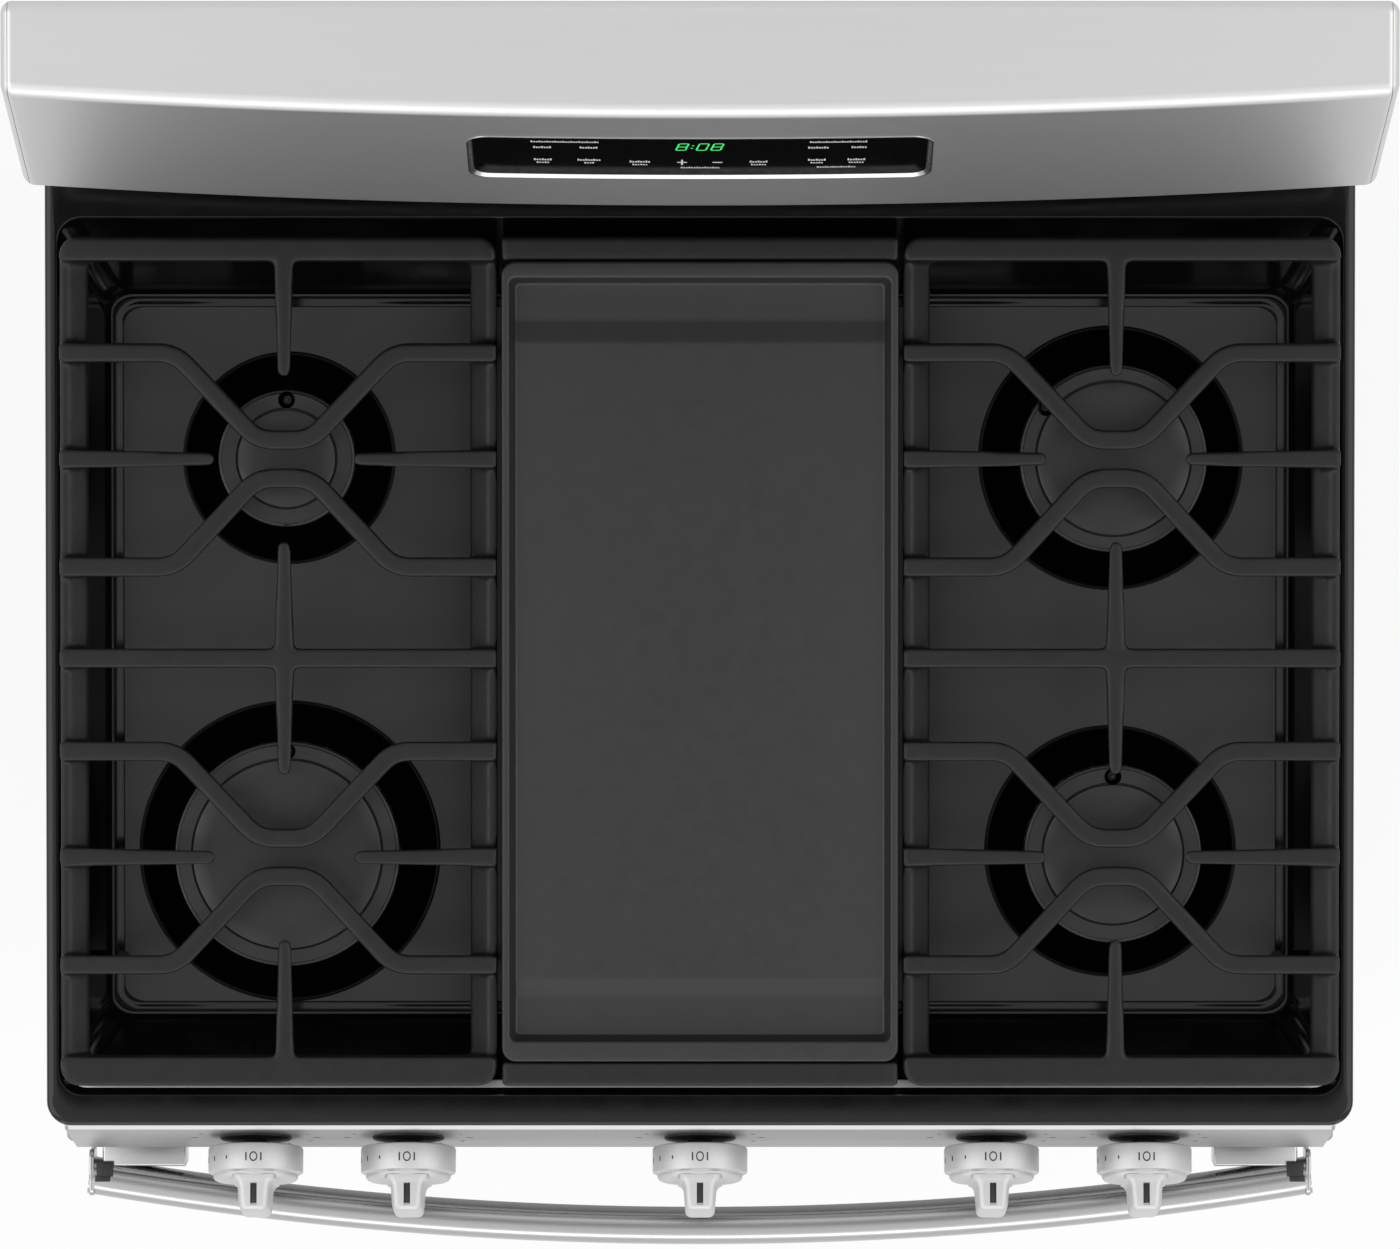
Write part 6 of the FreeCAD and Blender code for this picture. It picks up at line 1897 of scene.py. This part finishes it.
@dataclass
class Door:
    """The oven door's steel tray, its window and the bowed handle."""

    edge: float = 4 * MM
    window_x: float = 235 * MM
    window_z: Span = (345 * MM, 595 * MM)
    window_corner: float = 22 * MM
    window_lip: float = 2.5 * MM
    skin: float = 1.5 * MM
    bar_bow: float = 2200 * MM
    bar_steps: int = 48
    bar_round: float = 2.6
    cap_thick: float = 3 * MM
    sleeve: float = 13 * MM

    def tray(self) -> bpy.types.Object:
        """The outer tray: a block with its back opened, its window cut and its front edges rolled.

        Returns:
            The tray.
        """
        low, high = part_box("door_outer_panel")
        tray = slab("door_tray", (low.x, high.x), (low.y, high.y), (low.z, high.z))
        choose(tray, "EDGE", lambda middle, way: middle.y < low.y + MM or abs(way.y) > 0.9)
        bpy.ops.mesh.bevel(offset=self.edge, segments=6, affect="EDGES")
        finish_edit(tray)
        choose(tray, "FACE", lambda centre, normal: normal.y > 0.9)
        bpy.ops.mesh.delete(type="FACE")
        finish_edit(tray)
        modify(tray, "SOLIDIFY", thickness=self.skin, offset=-1)
        opening = slab("window_opening", (-self.window_x, self.window_x), (low.y - 9 * MM, low.y + 9 * MM),
                       self.window_z)
        choose(opening, "EDGE", lambda middle, way: abs(way.y) > 0.9)
        bpy.ops.mesh.bevel(offset=self.window_corner, segments=10, affect="EDGES")
        finish_edit(opening)
        hinge_low, hinge_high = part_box("door_hinges")
        notches = [opening]
        for side in Side:
            x = sorted_span(side.value * (hinge_high.x - 28 * MM), side.value * (hinge_high.x + 5 * MM))
            notches.append(slab("hinge_notch", x, (hinge_low.y + 8 * MM, high.y + MM),
                                (low.z - MM, low.z + 3 * MM)))
        return smooth(carve(tray, notches), 30)

    def window(self) -> bpy.types.Object:
        """The dark window glass, with rounded corners.

        Returns:
            The glass.
        """
        low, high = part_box("door_window")
        pane = slab("door_window_pane", (low.x, high.x), (low.y, high.y), (low.z, high.z))
        choose(pane, "EDGE", lambda middle, way: abs(way.y) > 0.9)
        bpy.ops.mesh.bevel(offset=self.window_corner, segments=8, affect="EDGES")
        finish_edit(pane)
        return soften(pane, 0.5 * MM, 2, 50)

    def bar_path(self) -> list[tuple[float, float, float, float]]:
        """The middle line of the handle, an arc across the door."""
        low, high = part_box("handle_bar")
        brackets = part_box("handle_brackets")[0]
        middle_bow = self.bar_bow - 11 * MM
        centre_y = low.y + self.bar_bow
        reach = high.x - 0.2 * MM
        path = []
        for step in range(self.bar_steps + 1):
            x = -reach + 2 * reach * step / self.bar_steps
            path.append((x, centre_y - math.sqrt(middle_bow ** 2 - x ** 2), (low.z + high.z) / 2, 1.0))
        return path

    def bar(self) -> bpy.types.Object:
        """The handle's bar, of a rounded oblong section.

        Returns:
            The bar.
        """
        low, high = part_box("handle_bar")
        half_deep, half_high = 11 * MM, (high.z - low.z) / 2
        points = []
        for step in range(40):
            angle = math.tau * step / 40
            across, up = math.cos(angle), math.sin(angle)
            power = 2 / self.bar_round
            points.append((math.copysign(abs(across) ** power, across) * half_deep,
                           math.copysign(abs(up) ** power, up) * half_high))
        outline = section("handle_section", points)
        bar = sweep("handle_tube", outline, self.bar_path())
        bpy.data.objects.remove(outline)
        return smooth(bar, 30)

    def end_plates(self) -> list[bpy.types.Object]:
        """The plate that closes each end of the bar, a little larger than its section.

        Returns:
            Both plates.
        """
        low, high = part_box("handle_bar")
        x, y, z, _ = self.bar_path()[-1]
        plates = []
        for side in Side:
            plate = slab("handle_end", sorted_span(side.value * (high.x - self.cap_thick), side.value * high.x),
                         (y - 11.5 * MM, y + 16 * MM), (low.z, high.z))
            choose(plate, "EDGE", lambda middle, way: abs(way.x) > 0.9)
            bpy.ops.mesh.bevel(offset=5 * MM, segments=6, affect="EDGES")
            finish_edit(plate)
            plates.append(soften(plate, 0.8 * MM, 3, 50))
        return plates

    def end_seals(self) -> list[bpy.types.Object]:
        """Dark blocks let into the bar beside each end plate: painted shade for the dark slots there.

        Returns:
            All four blocks.
        """
        low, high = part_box("handle_bar")
        x, y, z, _ = self.bar_path()[-1]
        slot_shades = []
        for side in Side:
            for near, far, start, end in ((3.5, 13, -1.0, 3.0), (4.5, 14.5, -9.0, 0.0)):
                seal = slab("handle_seal",
                            sorted_span(side.value * (high.x - far * MM), side.value * (high.x - near * MM)),
                            (y - end * MM, y - start * MM), (high.z - 6 * MM, high.z + 0.05 * MM))
                slot_shades.append(soften(seal, 0.4 * MM, 2))
        return slot_shades

    def brackets(self) -> list[bpy.types.Object]:
        """The block at each end that holds the bar off the door, on a wider foot.

        Returns:
            Both brackets.
        """
        low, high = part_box("handle_brackets")
        made = []
        inner = 306 * MM
        for side in Side:
            block = slab("handle_bracket", sorted_span(side.value * inner, side.value * high.x),
                         (low.y + 4 * MM, high.y), (low.z, high.z))
            middle_bow = self.bar_bow - 14 * MM
            foot = slab("bracket_foot", sorted_span(side.value * (inner - 7 * MM), side.value * (high.x + 6 * MM)),
                        (low.y + 14 * MM, high.y), (low.z - 1 * MM, low.z + 5 * MM))
            choose(foot, "EDGE", lambda middle, way: abs(way.z) > 0.9 and middle.y < low.y + 20 * MM)
            bpy.ops.mesh.bevel(offset=5 * MM, segments=5, affect="EDGES")
            finish_edit(foot)
            made += [soften(block, 1.5 * MM, 4), soften(foot, 1 * MM, 3)]
        return made

    def build(self) -> None:
        """Make the door's outer pieces and dress them."""
        # The door's steel is painted a shade darker, as painted shade.
        dress(self.tray(), SHADED_FRONT_STEEL.build(), "door", ["door_outer_panel"])
        dress(self.window(), BLACK_GLASS.build(), "door", ["door_window"])
        dress(self.bar(), HANDLE_STEEL.build(), "door", ["handle_bar"])
        dress(join("handle_end_plates", self.end_plates()), HANDLE_STEEL.build(), "door")
        # The dark blocks are painted shade in the handle's end slots.
        dress(join("handle_end_seals", self.end_seals()), BLACK_NYLON_AND_SLOT_SHADE.build(), "door")
        dress(join("handle_bracket_blocks", self.brackets()), HANDLE_STEEL.build(), "door",
              ["handle_brackets"])


@dataclass
class Drawer:
    """The storage drawer's front with a finger lip along its top."""

    edge: float = 4 * MM
    lip_deep: float = 9 * MM
    lip_down: float = 16 * MM
    lip_half: float = 120 * MM

    def build(self) -> None:
        """Make the front and dress it."""
        low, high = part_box("drawer_front")
        front = slab("drawer_front_pressing", (low.x, high.x), (low.y, high.y), (low.z, high.z))
        choose(front, "EDGE", lambda middle, way: middle.y < low.y + MM or abs(way.y) > 0.9)
        bpy.ops.mesh.bevel(offset=self.edge, segments=6, affect="EDGES")
        finish_edit(front)
        scoop = slab("finger_scoop", (-self.lip_half, self.lip_half),
                     (low.y + 6 * MM, low.y + 6 * MM + self.lip_down), (high.z - self.lip_deep, high.z + 9 * MM))
        soften(scoop, 4 * MM, 5)
        # The drawer's steel is painted a shade darker, as painted shade.
        dress(smooth(carve(front, [scoop]), 30), SHADED_FRONT_STEEL.build(), "drawer", ["drawer_front"])


# ---- Feet and carried-over frame nodes -----------------------------------------------------

@dataclass
class Feet:
    """Four levelling feet: a moulded pad, a hexagon and a threaded stem."""

    pad: float = 20 * MM
    nut: float = 9 * MM
    stem: float = 5 * MM
    thread: float = 1.25 * MM

    def foot(self) -> tuple[bpy.types.Object, bpy.types.Object]:
        """One foot standing at the origin.

        Returns:
            The pad, and the nut with its stem.
        """
        low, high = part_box("levelling_foot_1")
        pad = smooth(turned("foot_pad", (0, 0), (
            (self.pad - 2 * MM, 0), (self.pad, 1.2 * MM), (self.pad, 4 * MM), (self.pad - 1.5 * MM, 6 * MM),
            (self.pad - 3 * MM, 10 * MM), (self.pad - 5 * MM, 11 * MM), (self.nut, 11 * MM)), 64), 30)
        nut = soften(turned("foot_nut", (0, 0), ((self.nut, 11 * MM), (self.nut, 29.5 * MM)), 6), 0.8 * MM, 2)
        turns = [(self.stem - 0.4 * MM, 29 * MM)]
        z = 29.5 * MM
        while z + self.thread < high.z:
            turns += [(self.stem, z + 0.3 * self.thread), (self.stem - 0.4 * MM, z + 0.8 * self.thread)]
            z += self.thread
        stem = smooth(turned("foot_stem", (0, 0), turns, 32), 20)
        return pad, join("foot_screw", [nut, stem])

    def build(self) -> None:
        """Model one foot and copy it to all four corners."""
        pad, screw = self.foot()
        for number in range(1, 5):
            low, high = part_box(f"levelling_foot_{number}")
            spot = Matrix.Translation(((low.x + high.x) / 2, (low.y + high.y) / 2, low.z))
            body = f"foot_{number}_body"
            dress(copy_of(pad, f"foot_{number}_pad", spot), BLACK_NYLON_AND_SLOT_SHADE.build(), body,
                  [f"levelling_foot_{number}"])
            dress(copy_of(screw, f"foot_{number}_screw", spot), ZINC.build(), body)
        for piece in (pad, screw):
            bpy.data.objects.remove(piece)


CARRIED = {
    "side_panel_left": SIDE_PAINT, "side_panel_right": SIDE_PAINT, "front_frame": SIDE_PAINT,
    "back_panel": ZINC, "base_frame": ZINC, "drawer_rails": ZINC, "drawer_box": ZINC, "vent_duct": ZINC,
    "hinge_receivers": ZINC, "door_hinges": ZINC, "screws": ZINC, "bake_burner": TURNED_STEEL,
    "broil_burner": TURNED_STEEL, "temperature_sensor": TURNED_STEEL, "oven_cavity": OVEN_ENAMEL,
    "oven_floor": OVEN_ENAMEL, "door_inner_panel": OVEN_ENAMEL, "door_inner_glass": BLACK_GLASS,
    "oven_racks": CHROME_WIRE, "oven_insulation": WOOL, "door_gasket": SEAL, "display_board": BOARD,
    "spark_module": BLACK_NYLON_AND_SLOT_SHADE, "gas_valves": BRASS, "gas_tubes": TUBE_ALLOY, "gas_manifold": TUBE_ALLOY,
    "pressure_regulator": DIE_CAST, "oven_lamp": LAMP_GLASS,
    **{f"valve_stem_{number}": TURNED_STEEL for number in range(1, 6)},
}


def carry_over() -> None:
    """Give each frame node that still shows its own finish."""
    for name, finish in CARRIED.items():
        node = frame["nodes"][name]
        node.data.materials.clear()
        node.data.materials.append(finish.build())
        LOG.info("%s keeps its frame mesh, in %s", name, finish.name)


# ---- Stage -----------------------------------------------------------------------------------

@dataclass
class Stage:
    """A pale floor, soft light all round and the camera above the range."""

    floor_half: float = 6.0
    floor_colour: str = "F6F6F6"
    floor_glow: float = 0.85
    sky: float = 0.72
    ceiling_dark: float = 0.12
    ceiling_angles: Span = (6.0, 10.5)
    lens: float = 210.4
    camera_at: Point = (0.0, 0.1607, 5.640)
    camera_tilt: float = -1.78

    def direct_look(self, tree: bpy.types.NodeTree) -> bpy.types.NodeSocket:
        """One where the camera, a mirror or a glass looks, else zero.

        Args:
            tree: The node tree to add to.

        Returns:
            The socket with the value.
        """
        path = add_node(tree, "ShaderNodeLightPath")
        socket = path.outputs["Is Camera Ray"]
        for name in ("Is Glossy Ray", "Is Transmission Ray"):
            either = add_node(tree, "ShaderNodeMath", {"operation": "MAXIMUM"})
            tree.links.new(socket, either.inputs[0])
            tree.links.new(path.outputs[name], either.inputs[1])
            socket = either.outputs[0]
        return socket

    def floor(self) -> None:
        """A wide floor plane, with an inset ring of faces near its edge."""
        half = self.floor_half
        deselect_all()
        bpy.ops.mesh.primitive_plane_add(size=2 * half)
        floor = settle("studio_floor")
        bpy.ops.object.mode_set(mode="EDIT")
        bpy.ops.mesh.select_all(action="SELECT")
        bpy.ops.mesh.inset(thickness=0.5)
        bpy.ops.object.mode_set(mode="OBJECT")
        material = bpy.data.materials.new("studio_floor_paint")
        material.use_nodes = True
        tree = material.node_tree
        tree.nodes["Principled BSDF"].inputs["Base Color"].default_value = linear(self.floor_colour)
        tree.nodes["Principled BSDF"].inputs["Roughness"].default_value = 0.9
        share = add_node(tree, "ShaderNodeMapRange", {"To Max": self.floor_glow},
                         {"Value": self.direct_look(tree)})
        glow = add_node(tree, "ShaderNodeEmission", {"Strength": 1.0})
        mix = add_node(tree, "ShaderNodeMixShader")
        tree.links.new(share.outputs["Result"], mix.inputs[0])
        tree.links.new(tree.nodes["Principled BSDF"].outputs[0], mix.inputs[1])
        tree.links.new(glow.outputs[0], mix.inputs[2])
        tree.links.new(mix.outputs[0], tree.nodes["Material Output"].inputs["Surface"])
        floor.data.materials.append(material)

    def world(self) -> None:
        """Even light; a camera, a mirror and a glass see it white except for a dark ceiling overhead."""
        world = bpy.data.worlds.new("studio")
        bpy.context.scene.world = world
        world.use_nodes = True
        tree = world.node_tree
        back = tree.nodes["Background"]
        place_in = add_node(tree, "ShaderNodeTexCoord")
        split = add_node(tree, "ShaderNodeSeparateXYZ", links={"Vector": place_in.outputs["Generated"]})
        ceiling = add_node(tree, "ShaderNodeMapRange", {
            "interpolation_type": "SMOOTHSTEP", "From Min": math.cos(math.radians(self.ceiling_angles[1])),
            "From Max": math.cos(math.radians(self.ceiling_angles[0])),
            "To Min": 1.0, "To Max": self.ceiling_dark}, {"Value": split.outputs["Z"]})
        strength = add_node(tree, "ShaderNodeMapRange", {"To Min": self.sky, "To Max": 1.0},
                            {"Value": self.direct_look(tree)})
        product = add_node(tree, "ShaderNodeMath", {"operation": "MULTIPLY"})
        tree.links.new(strength.outputs["Result"], product.inputs[0])
        tree.links.new(ceiling.outputs["Result"], product.inputs[1])
        tree.links.new(product.outputs[0], back.inputs["Strength"])
        back.inputs["Color"].default_value = (1, 1, 1, 1)

    def lamp(self, name: str, at: Point, size: Span, power: float) -> None:
        """A soft box aimed at the cooktop.

        Args:
            name: The lamp's name.
            at: Where it hangs.
            size: Its width and depth.
            power: Watts.
        """
        light = bpy.data.lights.new(name, "AREA")
        light.shape = "RECTANGLE"
        light.size, light.size_y = size
        light.energy = power
        lamp = bpy.data.objects.new(name, light)
        lamp.location = at
        lamp.rotation_euler = (Vector((0, 0, 0.9)) - Vector(at)).to_track_quat("-Z", "Y").to_euler()
        bpy.context.scene.collection.objects.link(lamp)

    def camera(self) -> None:
        """The camera straight above, tilted a little towards the backguard."""
        camera = bpy.data.objects.new("studio_camera", bpy.data.cameras.new("studio_camera"))
        camera.data.lens = self.lens
        camera.data.sensor_width = 36.0
        camera.data.clip_end = 50.0
        camera.location = self.camera_at
        camera.rotation_euler = (math.radians(self.camera_tilt), 0.0, 0.0)
        bpy.context.scene.collection.objects.link(camera)
        bpy.context.scene.camera = camera

    def build(self) -> None:
        """Set up the whole studio."""
        self.floor()
        self.world()
        self.lamp("soft_box_left", (-2.6, -0.6, 3.4), (3.0, 3.0), 40.0)
        self.lamp("soft_box_right", (2.6, -0.2, 3.4), (3.0, 3.0), 32.0)
        self.lamp("soft_box_front", (0.1, -3.2, 2.6), (4.5, 1.4), 38.0)
        self.camera()
        bpy.context.scene.view_settings.view_transform = "Standard"


def main() -> None:
    """Build the range's looks in order."""
    logging.basicConfig(level=logging.INFO, format="%(name)s: %(message)s")
    Stage().build()
    carry_over()
    Cooktop().build()
    Grates().build()
    Griddle().build()
    panel = KnobPanel()
    panel.build()
    Knobs().build(panel)
    Riser().build()
    Console().build()
    Door().build()
    Drawer().build()
    Feet().build()


if __name__ == "__main__":
    main()
